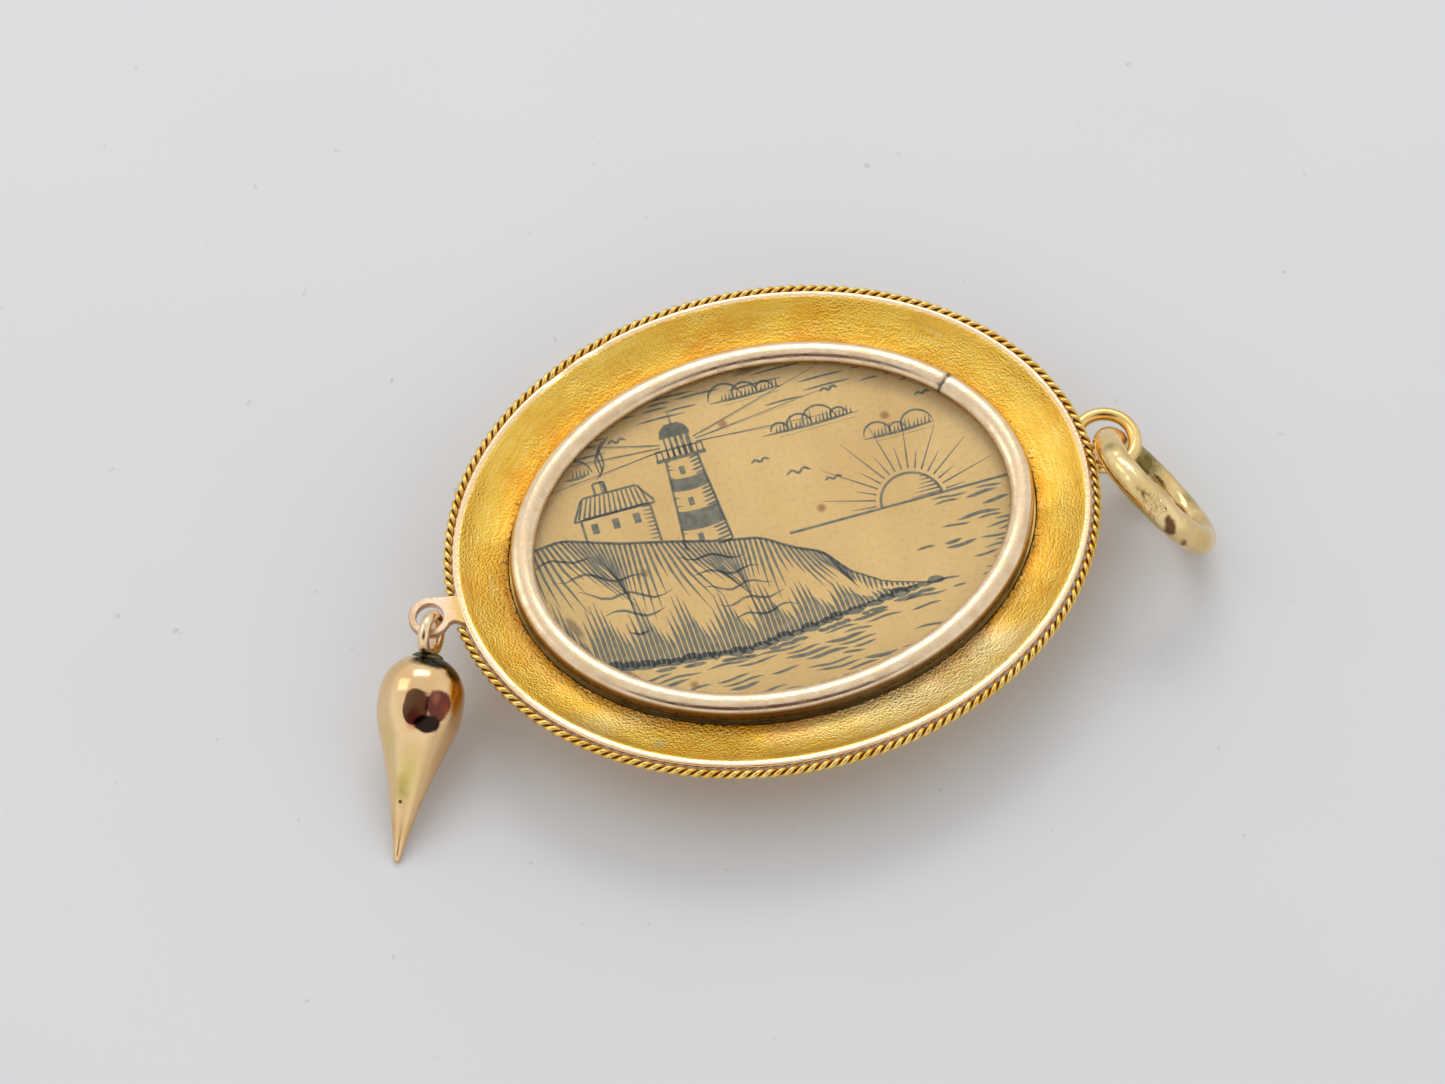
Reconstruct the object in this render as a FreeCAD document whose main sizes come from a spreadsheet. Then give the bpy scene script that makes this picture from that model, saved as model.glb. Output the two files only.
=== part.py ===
import FreeCAD, Part
import Sketcher
import math
import os

# Glazed picture pendant, lying on its back, in millimetres.
# Origin: centre of the flat back plate's outer face.  +X runs along the oval to the bail end,
# +Y is the picture's up, +Z comes out of the front.
# "Inset" always means: measured inwards from the oval that goes over the rope edging.

doc = FreeCAD.newDocument("PicturePendant")

SIZES = [
    # the oval and the heights of the case
    ("oval_half_length", 20.0),
    ("oval_half_width", 16.34),
    ("rope_wire", 0.58),
    ("solder_gap", 0.02),
    ("dish_floor_height", 4.62),
    ("dish_depth", 1.20),
    ("border_width", 3.30),
    ("border_sheet", 0.40),
    ("lip_width", 0.48),
    ("lip_height", 0.56),
    ("lip_crown", 0.06),
    ("lip_corner", 0.15),
    ("dish_radius", 4.10),
    ("rope_below_lip", 0.40),
    # the box of the case
    ("band_wall", 0.35),
    ("band_below_floor", 0.12),
    ("back_plate_sheet", 0.45),
    ("back_plate_edge", 0.12),
    ("fit_gap", 0.08),
    ("bearer_wall", 0.30),
    ("bearer_gap", 0.14),
    # the glazed bezel
    ("collar_wall", 0.30),
    ("collar_depth", 1.90),
    ("bezel_seam", 0.12),
    ("bezel_width", 1.45),
    ("bezel_side_height", 0.98),
    ("bezel_round", 0.78),
    ("bezel_lip_under", 0.15),
    ("bezel_foot_gap", 0.03),
    ("glass_thick", 0.80),
    ("glass_edge_gap", 0.12),
    ("paper_thick", 0.10),
    ("card_thick", 0.70),
    ("stack_gap", 0.01),
    # the loop and the bail ring
    ("loop_wire", 0.80),
    ("loop_mid_radius", 1.85),
    ("loop_reach", 1.00),
    ("bail_wire", 1.76),
    ("bail_mid_radius", 4.10),
    ("bail_turn_deg", 18.7),
    ("bail_lean_deg", 30.15),
    ("bail_cross_out", 0.34),
    ("bail_cross_side", -0.15),
    # the eyelet and the drop
    ("eyelet_outer_radius", 1.25),
    ("eyelet_hole_radius", 0.82),
    ("eyelet_thick", 0.54),
    ("eyelet_reach", 1.25),
    ("eyelet_off_axis", -0.20),
    ("neck_half_width", 0.55),
    ("neck_root_half_width", 1.10),
    ("drop_radius", 2.55),
    ("drop_straight", 0.55),
    ("drop_belly_radius", 5.0),
    ("drop_belly_length", 1.80),
    ("drop_cone_length", 9.30),
    ("drop_flare_radius", 40.0),
    ("drop_tip_radius", 0.20),
    ("drop_wall", 0.25),
    ("drop_vent_radius", 0.10),
    ("drop_vent_from_tip", 3.60),
    ("cap_radius", 0.95),
    ("cap_hole_radius", 0.50),
    ("cap_thick", 0.30),
    ("drop_loop_wire", 0.72),
    ("drop_loop_mid_radius", 1.14),
    ("drop_loop_sunk", 0.12),
    ("drop_hook_deg", 259.3),
    ("drop_hook_slack", 0.04),
    ("drop_hook_sag", 0.12),
    ("drop_turn_deg", 64.0),
    ("drop_twist_deg", -12.9),
]

sheet = doc.addObject("Spreadsheet::Sheet", "sizes")
for row, (alias, value) in enumerate(SIZES, start=1):
    sheet.set(f"A{row}", alias)
    sheet.set(f"B{row}", str(value))
    sheet.setAlias(f"B{row}", alias)
doc.recompute()

parts = []


def size(expression):
    """Value of an expression in the sheet's names."""
    return float(sheet.evalExpression(expression))


def bound(expression):
    """The same expression as another object writes it, with each name looked up in the sheet."""
    words = {alias for alias, _ in SIZES}
    text = ""
    word = ""
    for letter in expression + " ":
        if letter.isalnum() or letter == "_":
            word += letter
            continue
        text += f"sizes.{word}" if word in words else word
        text += letter
        word = ""
    return text.strip()


def new_body(name):
    body = doc.addObject("PartDesign::Body", name)
    body.Label = name
    parts.append(body)
    doc.recompute()
    return body


def new_sketch(body, name, plane="XZ_Plane", lift=None):
    sketch = body.newObject("Sketcher::SketchObject", name)
    base = next(f for f in body.Origin.OriginFeatures if f.Role == plane)
    sketch.AttachmentSupport = [(base, "")]
    sketch.MapMode = "FlatFace"
    if lift:
        sketch.setExpression(".AttachmentOffset.Base.z", bound(lift))
    return sketch


def name_constraint(sketch, index, name, expression):
    sketch.renameConstraint(index, name)
    sketch.setExpression(f"Constraints.{name}", bound(expression))


def tie_point(sketch, edge, end, name, across, upward):
    """Ties one end of an edge to the sketch's origin by two bound distances."""
    for kind, axis, expression in (("DistanceX", -2, across), ("DistanceY", -1, upward)):
        if expression == "0":
            sketch.addConstraint(Sketcher.Constraint("PointOnObject", edge, end, axis))
            continue
        index = sketch.addConstraint(
            Sketcher.Constraint(kind, -1, 1, edge, end, size(expression)))
        name_constraint(sketch, index, f"{name}_{kind[-1].lower()}", expression)


def draw_outline(sketch, corners):
    """Closed outline.  A corner is (across, upward), or (across, upward, radius, side) where the
    edge that leaves it is an arc with its centre to the left (side 1) or right (side -1)."""
    ends = []
    for index, corner in enumerate(corners):
        following = corners[(index + 1) % len(corners)]
        start = FreeCAD.Vector(size(corner[0]), size(corner[1]), 0)
        stop = FreeCAD.Vector(size(following[0]), size(following[1]), 0)
        if len(corner) == 2:
            sketch.addGeometry(Part.LineSegment(start, stop))
            ends.append((1, 2))
            continue
        radius = size(corner[2])
        side = corner[3]
        chord = stop - start
        middle = (start + stop) / 2
        normal = FreeCAD.Vector(-chord.y, chord.x, 0).normalize()
        centre = middle + normal * side * math.sqrt(radius ** 2 - (chord.Length / 2) ** 2)
        angles = [math.atan2(p.y - centre.y, p.x - centre.x) for p in (start, stop)]
        if side < 0:
            angles.reverse()
        circle = Part.Circle(centre, FreeCAD.Vector(0, 0, 1), radius)
        sketch.addGeometry(Part.ArcOfCircle(circle, angles[0], angles[1]))
        ends.append((1, 2) if side > 0 else (2, 1))
    for index, corner in enumerate(corners):
        following = (index + 1) % len(corners)
        sketch.addConstraint(Sketcher.Constraint(
            "Coincident", index, ends[index][1], following, ends[following][0]))
        tie_point(sketch, index, ends[index][0], f"p{index}", corner[0], corner[1])
        if len(corner) > 2:
            radius = sketch.addConstraint(Sketcher.Constraint("Radius", index, size(corner[2])))
            name_constraint(sketch, radius, f"r{index}", corner[2])


def draw_oval(sketch, inset="0", ends=None):
    """Ellipse inside the oval over the rope, by the inset.  With ends, a pair of expressions, it
    is open at the drop end between those two distances along Y."""
    long_half = f"(oval_half_length - ({inset}))"
    wide_half = f"(oval_half_width - ({inset}))"
    oval = Part.Ellipse(FreeCAD.Vector(0, 0, 0), size(long_half), size(wide_half))
    if ends:
        low, high = (math.asin(size(end) / size(wide_half)) for end in ends)
        oval = Part.ArcOfEllipse(oval, -math.pi - low, math.pi - high)
    sketch.addGeometry(oval)
    sketch.exposeInternalGeometry(0)
    sketch.addConstraint(Sketcher.Constraint("Coincident", 0, 3, -1, 1))
    sketch.addConstraint(Sketcher.Constraint("Horizontal", 1))
    for line, name, half in ((1, "long_axis", long_half), (2, "wide_axis", wide_half)):
        index = sketch.addConstraint(Sketcher.Constraint("Distance", line, 2 * size(half)))
        name_constraint(sketch, index, name, f"2 * {half}")
    for point, name, end in zip((1, 2), ("low_end", "high_end"), ends or ()):
        index = sketch.addConstraint(
            Sketcher.Constraint("DistanceY", -1, 1, 0, point, size(end)))
        name_constraint(sketch, index, name, end)


def oval_body(name):
    """A new body with the oval that its section is carried along, and an empty section sketch."""
    body = new_body(name)
    path = new_sketch(body, f"{name}_path", "XY_Plane")
    draw_oval(path)
    return body, path, new_sketch(body, f"{name}_section")


def carry_round(body, path, section):
    doc.recompute()
    sweep = body.newObject("PartDesign::AdditivePipe", f"{body.Label}_sweep")
    sweep.Profile = section
    sweep.Spine = (path, ["Edge1"])
    doc.recompute()
    return body


def oval_sweep(name, corners):
    """A ring whose section, drawn at the bail end of the oval, is carried round the oval."""
    body, path, section = oval_body(name)
    draw_outline(section, [(f"oval_half_length - ({c[0]})",) + tuple(c[1:]) for c in corners])
    return carry_round(body, path, section)


def draw_circle(sketch, across, upward, radius):
    centre = FreeCAD.Vector(size(across), size(upward), 0)
    sketch.addGeometry(Part.Circle(centre, FreeCAD.Vector(0, 0, 1), size(radius)))
    tie_point(sketch, 0, 3, "centre", across, upward)
    index = sketch.addConstraint(Sketcher.Constraint("Radius", 0, size(radius)))
    name_constraint(sketch, index, "radius", radius)


def oval_plate(name, inset, underside, thickness):
    body = new_body(name)
    sketch = new_sketch(body, f"{name}_outline", "XY_Plane", underside)
    draw_oval(sketch, inset)
    pad = body.newObject("PartDesign::Pad", f"{name}_pad")
    pad.Profile = sketch
    pad.setExpression("Length", bound(thickness))
    doc.recompute()
    return body


def turned(name, corners):
    """A piece turned about its own Z axis."""
    body = new_body(name)
    sketch = new_sketch(body, f"{name}_section")
    draw_outline(sketch, corners)
    doc.recompute()
    turn = body.newObject("PartDesign::Revolution", f"{name}_turn")
    turn.Profile = sketch
    turn.ReferenceAxis = (sketch, ["V_Axis"])
    turn.Angle = 360
    doc.recompute()
    return body


def wire_ring(name, mid_radius, wire):
    ring = doc.addObject("Part::Torus", name)
    ring.Label = name
    ring.setExpression("Radius1", bound(mid_radius))
    ring.setExpression("Radius2", bound(f"{wire} / 2"))
    doc.recompute()
    return ring


# ---- insets and heights shared by the pieces of the case

EDGE = "(rope_wire + solder_gap)"
LIP_IN = f"({EDGE} + lip_width)"
SEAM = f"({EDGE} + border_width)"
FLOOR = "dish_floor_height"
UNDER_FLOOR = f"({FLOOR} - border_sheet)"
LIP_FOOT = f"({FLOOR} + dish_depth)"
LIP_TOP = f"({LIP_FOOT} + lip_crown)"
LIP_UNDER = f"({LIP_TOP} - lip_height)"
BAND_IN = f"({SEAM} + band_wall)"
BAND_TOP = f"({FLOOR} - band_below_floor)"
COLLAR_OUT = f"({BAND_IN} + fit_gap)"
COLLAR_IN = f"({COLLAR_OUT} + collar_wall)"
BEARER_OUT = f"({COLLAR_IN} + bearer_gap)"
BEZEL_OUT = f"({SEAM} + bezel_seam)"
BEZEL_IN = f"({BEZEL_OUT} + bezel_width)"
BEZEL_FOOT = f"({BAND_TOP} + bezel_foot_gap)"
BEZEL_SHOULDER = f"({BEZEL_FOOT} + bezel_side_height)"
BEZEL_UNDER = f"({BEZEL_SHOULDER} - bezel_lip_under)"
GLASS_UNDER = f"({BEZEL_UNDER} - stack_gap - glass_thick)"
PAPER_UNDER = f"({GLASS_UNDER} - stack_gap - paper_thick)"
CARD_UNDER = f"({PAPER_UNDER} - card_thick)"
GLASS_EDGE = f"({COLLAR_IN} + glass_edge_gap)"

# ---- front border: one dished sheet with a raised lip round its outer edge

# the underside keeps the sheet's thickness, so its arc has the same centre as the dish
UNDER_RADIUS = "(dish_radius + border_sheet)"
UNDER_RUN = (f"sqrt({UNDER_RADIUS} * {UNDER_RADIUS}"
             f" - ({FLOOR} + dish_radius - {LIP_UNDER}) * ({FLOOR} + dish_radius - {LIP_UNDER}))")
oval_sweep("front_border", [
    (EDGE, LIP_UNDER),
    (EDGE, f"{LIP_TOP} - lip_corner"),
    (f"{EDGE} + lip_corner", LIP_TOP),
    (LIP_IN, LIP_FOOT, "dish_radius", -1),
    (SEAM, FLOOR),
    (SEAM, UNDER_FLOOR, UNDER_RADIUS, 1),
    (f"{SEAM} - {UNDER_RUN}", LIP_UNDER),
])

# ---- rope edging: twisted wire soldered under the lip, open where the eyelet's neck crosses it

ROPE_MID = "(rope_wire / 2)"
ROPE_HEIGHT = f"({LIP_TOP} - rope_below_lip)"
NECK_CLEAR = "(neck_root_half_width + solder_gap)"
rope = new_body("rope_edging")
rope_path = new_sketch(rope, "rope_edging_path", "XY_Plane", ROPE_HEIGHT)
draw_oval(rope_path, ROPE_MID,
          (f"eyelet_off_axis - {NECK_CLEAR}", f"eyelet_off_axis + {NECK_CLEAR}"))
doc.recompute()
rope_section = rope.newObject("Sketcher::SketchObject", "rope_edging_section")
rope_section.AttachmentSupport = [(rope_path, "Edge1")]
rope_section.MapMode = "NormalToEdge"
rope_section.MapPathParameter = 0
draw_circle(rope_section, "0", "0", ROPE_MID)
carry_round(rope, rope_path, rope_section)

# ---- case: oval band, flat back plate and the bearer strip that the card sits on

oval_sweep("case_band", [
    (SEAM, "back_plate_sheet"),
    (SEAM, BAND_TOP),
    (BAND_IN, BAND_TOP),
    (BAND_IN, "back_plate_sheet"),
])
oval_plate("back_plate", f"{SEAM} - back_plate_edge", "0", "back_plate_sheet")
oval_sweep("card_bearer", [
    (BEARER_OUT, "back_plate_sheet"),
    (BEARER_OUT, CARD_UNDER),
    (f"{BEARER_OUT} + bearer_wall", CARD_UNDER),
    (f"{BEARER_OUT} + bearer_wall", "back_plate_sheet"),
])
oval_plate("backing_card", BEARER_OUT, CARD_UNDER, "card_thick")
oval_plate("picture_print", BEARER_OUT, PAPER_UNDER, "paper_thick")

# ---- glazed bezel: half-round ring, the collar soldered under it, and the glass

oval_sweep("bezel_ring", [
    (BEZEL_OUT, BEZEL_FOOT),
    (BEZEL_OUT, BEZEL_SHOULDER, "bezel_round", 1),
    (BEZEL_IN, BEZEL_SHOULDER),
    (BEZEL_IN, BEZEL_UNDER),
    (COLLAR_IN, BEZEL_UNDER),
    (COLLAR_IN, BEZEL_FOOT),
])
oval_sweep("bezel_collar", [
    (COLLAR_OUT, f"{BEZEL_FOOT} - collar_depth"),
    (COLLAR_OUT, BEZEL_FOOT),
    (COLLAR_IN, BEZEL_FOOT),
    (COLLAR_IN, f"{BEZEL_FOOT} - collar_depth"),
])
oval_plate("cover_glass", GLASS_EDGE, GLASS_UNDER, "glass_thick")

# ---- top loop: a closed wire ring soldered under the rope and the lip

LOOP_X = "(oval_half_length + loop_reach)"
LOOP_HEIGHT = f"({ROPE_HEIGHT} - {ROPE_MID} - solder_gap - loop_wire / 2)"
top_loop = wire_ring("top_loop", "loop_mid_radius", "loop_wire")
top_loop.Placement = FreeCAD.Placement(
    FreeCAD.Vector(size(LOOP_X), 0, size(LOOP_HEIGHT)), FreeCAD.Rotation())
parts.append(top_loop)

# ---- bail ring: hangs through the top loop and stands on the table, leaning


def bail_placement():
    turn = math.radians(size("bail_turn_deg"))
    lean = math.radians(size("bail_lean_deg"))
    radius = size("bail_mid_radius")
    axis = FreeCAD.Vector(
        math.cos(turn) * math.cos(lean), math.sin(turn) * math.cos(lean), math.sin(lean))
    uphill = FreeCAD.Vector(0, 0, 1) - axis * axis.z
    uphill.normalize()
    level = uphill.cross(axis)
    centre_height = radius * uphill.z + size("bail_wire / 2")
    crossing = math.asin((size(LOOP_HEIGHT) - centre_height) / (radius * uphill.z))
    reach = level * radius * math.cos(crossing) + uphill * radius * math.sin(crossing)
    centre = FreeCAD.Vector(
        size(f"{LOOP_X} + bail_cross_out") - reach.x,
        size("bail_cross_side") - reach.y,
        centre_height)
    return FreeCAD.Placement(centre, FreeCAD.Rotation(FreeCAD.Vector(0, 0, 1), axis))


bail = wire_ring("bail_ring", "bail_mid_radius", "bail_wire")
bail.Placement = bail_placement()
parts.append(bail)

# ---- bottom eyelet: a flat lug with a round hole, its neck soldered to the edge of the lip

EYELET_X = "-(oval_half_length + eyelet_reach)"
EYELET_UNDER = f"({LIP_TOP} - eyelet_thick - solder_gap)"
eyelet = new_body("bottom_eyelet")
disc = new_sketch(eyelet, "eyelet_disc", "XY_Plane", EYELET_UNDER)
draw_circle(disc, EYELET_X, "eyelet_off_axis", "eyelet_outer_radius")
disc_pad = eyelet.newObject("PartDesign::Pad", "eyelet_disc_pad")
disc_pad.Profile = disc
disc_pad.setExpression("Length", bound("eyelet_thick"))
neck = new_sketch(eyelet, "eyelet_neck", "XY_Plane", EYELET_UNDER)
NECK_ROOT = "-(oval_half_length - 2 * rope_wire)"
draw_outline(neck, [
    (EYELET_X, "eyelet_off_axis - neck_half_width"),
    (NECK_ROOT, "eyelet_off_axis - neck_root_half_width"),
    (NECK_ROOT, "eyelet_off_axis + neck_root_half_width"),
    (EYELET_X, "eyelet_off_axis + neck_half_width"),
])
neck_pad = eyelet.newObject("PartDesign::Pad", "eyelet_neck_pad")
neck_pad.Profile = neck
neck_pad.setExpression("Length", bound("eyelet_thick"))
doc.recompute()
eyelet_before = eyelet.Shape.Volume
hole = new_sketch(eyelet, "eyelet_hole", "XY_Plane", f"{EYELET_UNDER} + eyelet_thick / 2")
draw_circle(hole, EYELET_X, "eyelet_off_axis", "eyelet_hole_radius")
hole_cut = eyelet.newObject("PartDesign::Pocket", "eyelet_hole_cut")
hole_cut.Profile = hole
hole_cut.Midplane = True
hole_cut.setExpression("Length", bound("2 * eyelet_thick"))
rim = new_sketch(eyelet, "eyelet_rim", "XY_Plane", f"{EYELET_UNDER} + eyelet_thick / 2")
draw_oval(rim, f"{EDGE} - solder_gap")
rim_cut = eyelet.newObject("PartDesign::Pocket", "eyelet_rim_cut")
rim_cut.Profile = rim
rim_cut.Midplane = True
rim_cut.setExpression("Length", bound("2 * eyelet_thick"))
doc.recompute()
hole_volume = math.pi * size("eyelet_hole_radius ^ 2 * eyelet_thick")
assert eyelet.Shape.Volume < eyelet_before - hole_volume / 2, "the eyelet's hole is not cut"

# ---- drop: hollow dome and cone that meet at the widest girth, a cap and a wire loop on top
# Each is turned about its own Z axis, with Z = 0 at the girth and the loop at the top.

DOME_CENTRE = "drop_straight"
DOME_CUT = f"({DOME_CENTRE} + sqrt(drop_radius * drop_radius - cap_radius * cap_radius))"
INNER_RADIUS = "(drop_radius - drop_wall)"
INNER_CUT = (f"({DOME_CENTRE} + sqrt({INNER_RADIUS} * {INNER_RADIUS}"
             " - cap_hole_radius * cap_hole_radius))")
dome = turned("drop_dome", [
    ("drop_radius", "0"),
    ("drop_radius", DOME_CENTRE, "drop_radius", 1),
    ("cap_radius", DOME_CUT),
    ("cap_hole_radius", DOME_CUT),
    ("cap_hole_radius", INNER_CUT, INNER_RADIUS, -1),
    (INNER_RADIUS, DOME_CENTRE),
    (INNER_RADIUS, "0"),
])
BELLY_RADIUS = ("(drop_radius - drop_belly_radius + sqrt(drop_belly_radius * drop_belly_radius"
                " - drop_belly_length * drop_belly_length))")
cone = turned("drop_cone", [
    ("drop_radius", "0"),
    (INNER_RADIUS, "0"),
    (f"{BELLY_RADIUS} - drop_wall", "-drop_belly_length"),
    ("0", "-(drop_cone_length - 8 * drop_wall)"),
    ("0", "-drop_cone_length"),
    ("drop_tip_radius", "-(drop_cone_length - drop_tip_radius)", "drop_flare_radius", -1),
    (BELLY_RADIUS, "-drop_belly_length", "drop_belly_radius", 1),
])
cone_before = cone.Shape.Volume
vent = new_sketch(cone, "drop_vent", "YZ_Plane")
draw_circle(vent, "0", "drop_vent_from_tip - drop_cone_length", "drop_vent_radius")
vent_cut = cone.newObject("PartDesign::Pocket", "drop_vent_cut")
vent_cut.Profile = vent
vent_cut.setExpression("Length", bound("drop_radius"))
doc.recompute()
assert cone.Shape.Volume < cone_before, "the vent is not cut"
cap = turned("drop_cap", [
    ("0", DOME_CUT),
    ("cap_radius", DOME_CUT),
    ("cap_radius - cap_thick", f"{DOME_CUT} + cap_thick"),
    ("0", f"{DOME_CUT} + cap_thick"),
])

# the wire loop is cut flat where it is soldered to the cap
LOOP_FOOT = f"({DOME_CUT} + cap_thick)"
DROP_LOOP_MID = f"({LOOP_FOOT} - drop_loop_sunk + drop_loop_mid_radius)"
whole_loop = wire_ring("drop_loop_ring", "drop_loop_mid_radius", "drop_loop_wire")
whole_loop.Placement = FreeCAD.Placement(
    FreeCAD.Vector(0, 0, size(DROP_LOOP_MID)), FreeCAD.Rotation(FreeCAD.Vector(1, 0, 0), 90))
foot = doc.addObject("Part::Box", "drop_loop_foot")
for side in ("Length", "Width", "Height"):
    foot.setExpression(side, bound("4 * drop_loop_mid_radius"))
foot.Placement = FreeCAD.Placement(
    FreeCAD.Vector(-size("2 * drop_loop_mid_radius"), -size("2 * drop_loop_mid_radius"),
                   size(f"{LOOP_FOOT} - 4 * drop_loop_mid_radius")), FreeCAD.Rotation())
drop_loop = doc.addObject("Part::Cut", "drop_loop")
drop_loop.Label = "drop_loop"
drop_loop.Base = whole_loop
drop_loop.Tool = foot
parts.append(drop_loop)
doc.recompute()


def drop_placement():
    """The loop is hooked round the eyelet's wall and the tip lies on the table."""
    wall_mid = size("(eyelet_outer_radius + eyelet_hole_radius) / 2 + drop_hook_slack")
    hook = math.radians(size("drop_hook_deg"))
    loop_mid = FreeCAD.Vector(
        size(EYELET_X) + wall_mid * math.cos(hook),
        size("eyelet_off_axis") + wall_mid * math.sin(hook),
        size(f"{EYELET_UNDER} + eyelet_thick / 2 - drop_hook_sag"))
    fall = loop_mid.z - size("drop_tip_radius")
    rise = fall / size(f"{DROP_LOOP_MID} + drop_cone_length - drop_tip_radius")
    turn = math.radians(size("drop_turn_deg"))
    flat = math.sqrt(1 - rise ** 2)
    along = FreeCAD.Vector(flat * math.cos(turn), flat * math.sin(turn), rise)
    level = along.cross(FreeCAD.Vector(0, 0, 1))
    level.normalize()
    uphill = level.cross(along)
    twist = math.radians(size("drop_twist_deg"))
    vent_side = uphill * math.cos(twist) + level * math.sin(twist)
    across = -vent_side
    pose = FreeCAD.Rotation(across, along.cross(across), along, "ZXY")
    return FreeCAD.Placement(loop_mid - along * size(DROP_LOOP_MID), pose)


hang = drop_placement()
for piece in (dome, cone, cap):
    piece.Placement = hang
drop_loop.Placement = hang
doc.recompute()

# ---- check every object, then write each sub-part

for thing in doc.Objects:
    assert not {"Invalid", "Error"} & set(thing.State), f"{thing.Label}: {thing.State}"
os.makedirs("parts", exist_ok=True)
for part in parts:
    shape = part.Shape
    assert not shape.isNull() and shape.isValid() and shape.Volume > 0, part.Label
    assert len(shape.Solids) == 1, f"{part.Label} has {len(shape.Solids)} solids"
    shape.exportStep(os.path.join("parts", f"{part.Label}.step"))
    print(f"{part.Label}: {shape.Volume:.3f} mm3")
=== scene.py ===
import bisect
import math
import random

import bmesh
import bpy
from mathutils import Matrix, Vector, noise


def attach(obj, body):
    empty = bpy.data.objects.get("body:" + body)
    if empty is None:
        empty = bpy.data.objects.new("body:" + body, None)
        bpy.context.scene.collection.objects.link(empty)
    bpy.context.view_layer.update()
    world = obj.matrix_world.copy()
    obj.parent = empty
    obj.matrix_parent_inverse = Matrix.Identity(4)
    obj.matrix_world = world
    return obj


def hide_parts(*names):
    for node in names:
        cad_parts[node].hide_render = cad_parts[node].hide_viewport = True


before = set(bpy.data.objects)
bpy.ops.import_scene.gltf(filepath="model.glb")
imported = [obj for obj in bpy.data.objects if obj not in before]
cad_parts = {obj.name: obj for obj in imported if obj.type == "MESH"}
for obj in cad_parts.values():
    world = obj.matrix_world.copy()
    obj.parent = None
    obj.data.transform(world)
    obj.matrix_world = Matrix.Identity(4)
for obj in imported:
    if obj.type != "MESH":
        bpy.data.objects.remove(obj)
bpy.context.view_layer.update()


# ---- Table, lamps and camera
# The pendant lies on its back on a plain pale table.  Two soft lamps hang behind it, and the dark
# side of the room is the side that it is looked at from.

MM = 0.001
TABLE_COLOUR = (0.70, 0.70, 0.695)
ROOM_COLOUR = (0.95, 0.97, 1.0)
ROOM_LEVEL = 0.98
# whoever looks at the pendant stands in front of it, dark against the room
DARK_WAY = Vector((-0.10, -0.50, 0.86)).normalized()
DARK_ACROSS = Vector((0.50, -0.10, 0)).normalized()
DARK_HALF_WIDE = 0.46
DARK_HALF_HIGH = 0.32
LAMP_COLOUR = (1.0, 0.99, 0.97)
LENS_MM = 96.66
SENSOR_MM = 36.0
CAMERA_SPOT = Vector((-29.40, -103.75, 211.28)) * MM


def node(tree, kind, inputs=None, **settings):
    """A shader node with its settings, and with each input wired or given its value."""
    made = tree.nodes.new(kind)
    for name, value in settings.items():
        setattr(made, name, value)
    for name, value in (inputs or {}).items():
        if isinstance(value, bpy.types.NodeSocket):
            tree.links.new(value, made.inputs[name])
        else:
            made.inputs[name].default_value = value
    return made


def rgba(colour):
    """A grey level or three parts as a full colour; what comes from a node stays as it is."""
    if isinstance(colour, (int, float)):
        colour = (colour,) * 3
    return (*colour, 1) if isinstance(colour, tuple) else colour


def steps(tree, factor, *stops):
    """A colour ramp; each stop is a place and a grey level or a colour."""
    ramp = node(tree, "ShaderNodeValToRGB", {"Fac": factor})
    elements = ramp.color_ramp.elements
    while len(elements) < len(stops):
        elements.new(0.5)
    for element, (place, colour) in zip(elements, stops):
        element.position = place
        element.color = rgba(colour)
    return ramp.outputs["Color"]


def mixed(tree, factor, first, second, blend="MIX"):
    """One colour over another."""
    made = node(tree, "ShaderNodeMix", {0: factor, 6: rgba(first), 7: rgba(second)},
                data_type="RGBA", blend_type=blend)
    return made.outputs[2]


def own_place(tree):
    """The piece's own coordinates, in metres."""
    return node(tree, "ShaderNodeTexCoord").outputs["Object"]


def cloudy(tree, place, scale, detail, roughness=0.5):
    """A soft random pattern; scale says how fine it is."""
    return node(tree, "ShaderNodeTexNoise", {"Vector": place, "Scale": scale, "Detail": detail,
                                             "Roughness": roughness}).outputs["Fac"]


def summed(tree, first, second):
    """Two values added."""
    return node(tree, "ShaderNodeMath", {0: first, 1: second}, operation="ADD").outputs[0]


def feed(surface, name, told):
    """Leads what a node tells into an input of the surface."""
    surface.id_data.links.new(told, surface.inputs[name])


def finish(name, colour, roughness, metallic=0.0):
    """A new material and its tree, with the plain values of its surface set."""
    material = bpy.data.materials.new(name)
    material.use_nodes = True
    surface = material.node_tree.nodes["Principled BSDF"]
    surface.inputs["Base Color"].default_value = rgba(colour)
    surface.inputs["Roughness"].default_value = roughness
    surface.inputs["Metallic"].default_value = metallic
    return material, material.node_tree, surface


table_material, tree, surface = finish("table_white", TABLE_COLOUR, 0.55)
place = own_place(tree)
cloud = cloudy(tree, place, 30.0, 3.0)
fleck = cloudy(tree, place, 900.0, 2.0)
tone = steps(tree, cloud, (0.3, 0.72), (0.7, TABLE_COLOUR))
speck = steps(tree, fleck, (0.2, 0.72), (0.27, 1.0))
feed(surface, "Base Color", mixed(tree, 1.0, tone, speck, "MULTIPLY"))
table_work = bmesh.new()
bmesh.ops.create_grid(table_work, x_segments=2, y_segments=2, size=1.5)
table_mesh = bpy.data.meshes.new("table")
table_work.to_mesh(table_mesh)
table_work.free()
table_mesh.materials.append(table_material)
table = bpy.data.objects.new("table", table_mesh)
bpy.context.scene.collection.objects.link(table)

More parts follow.
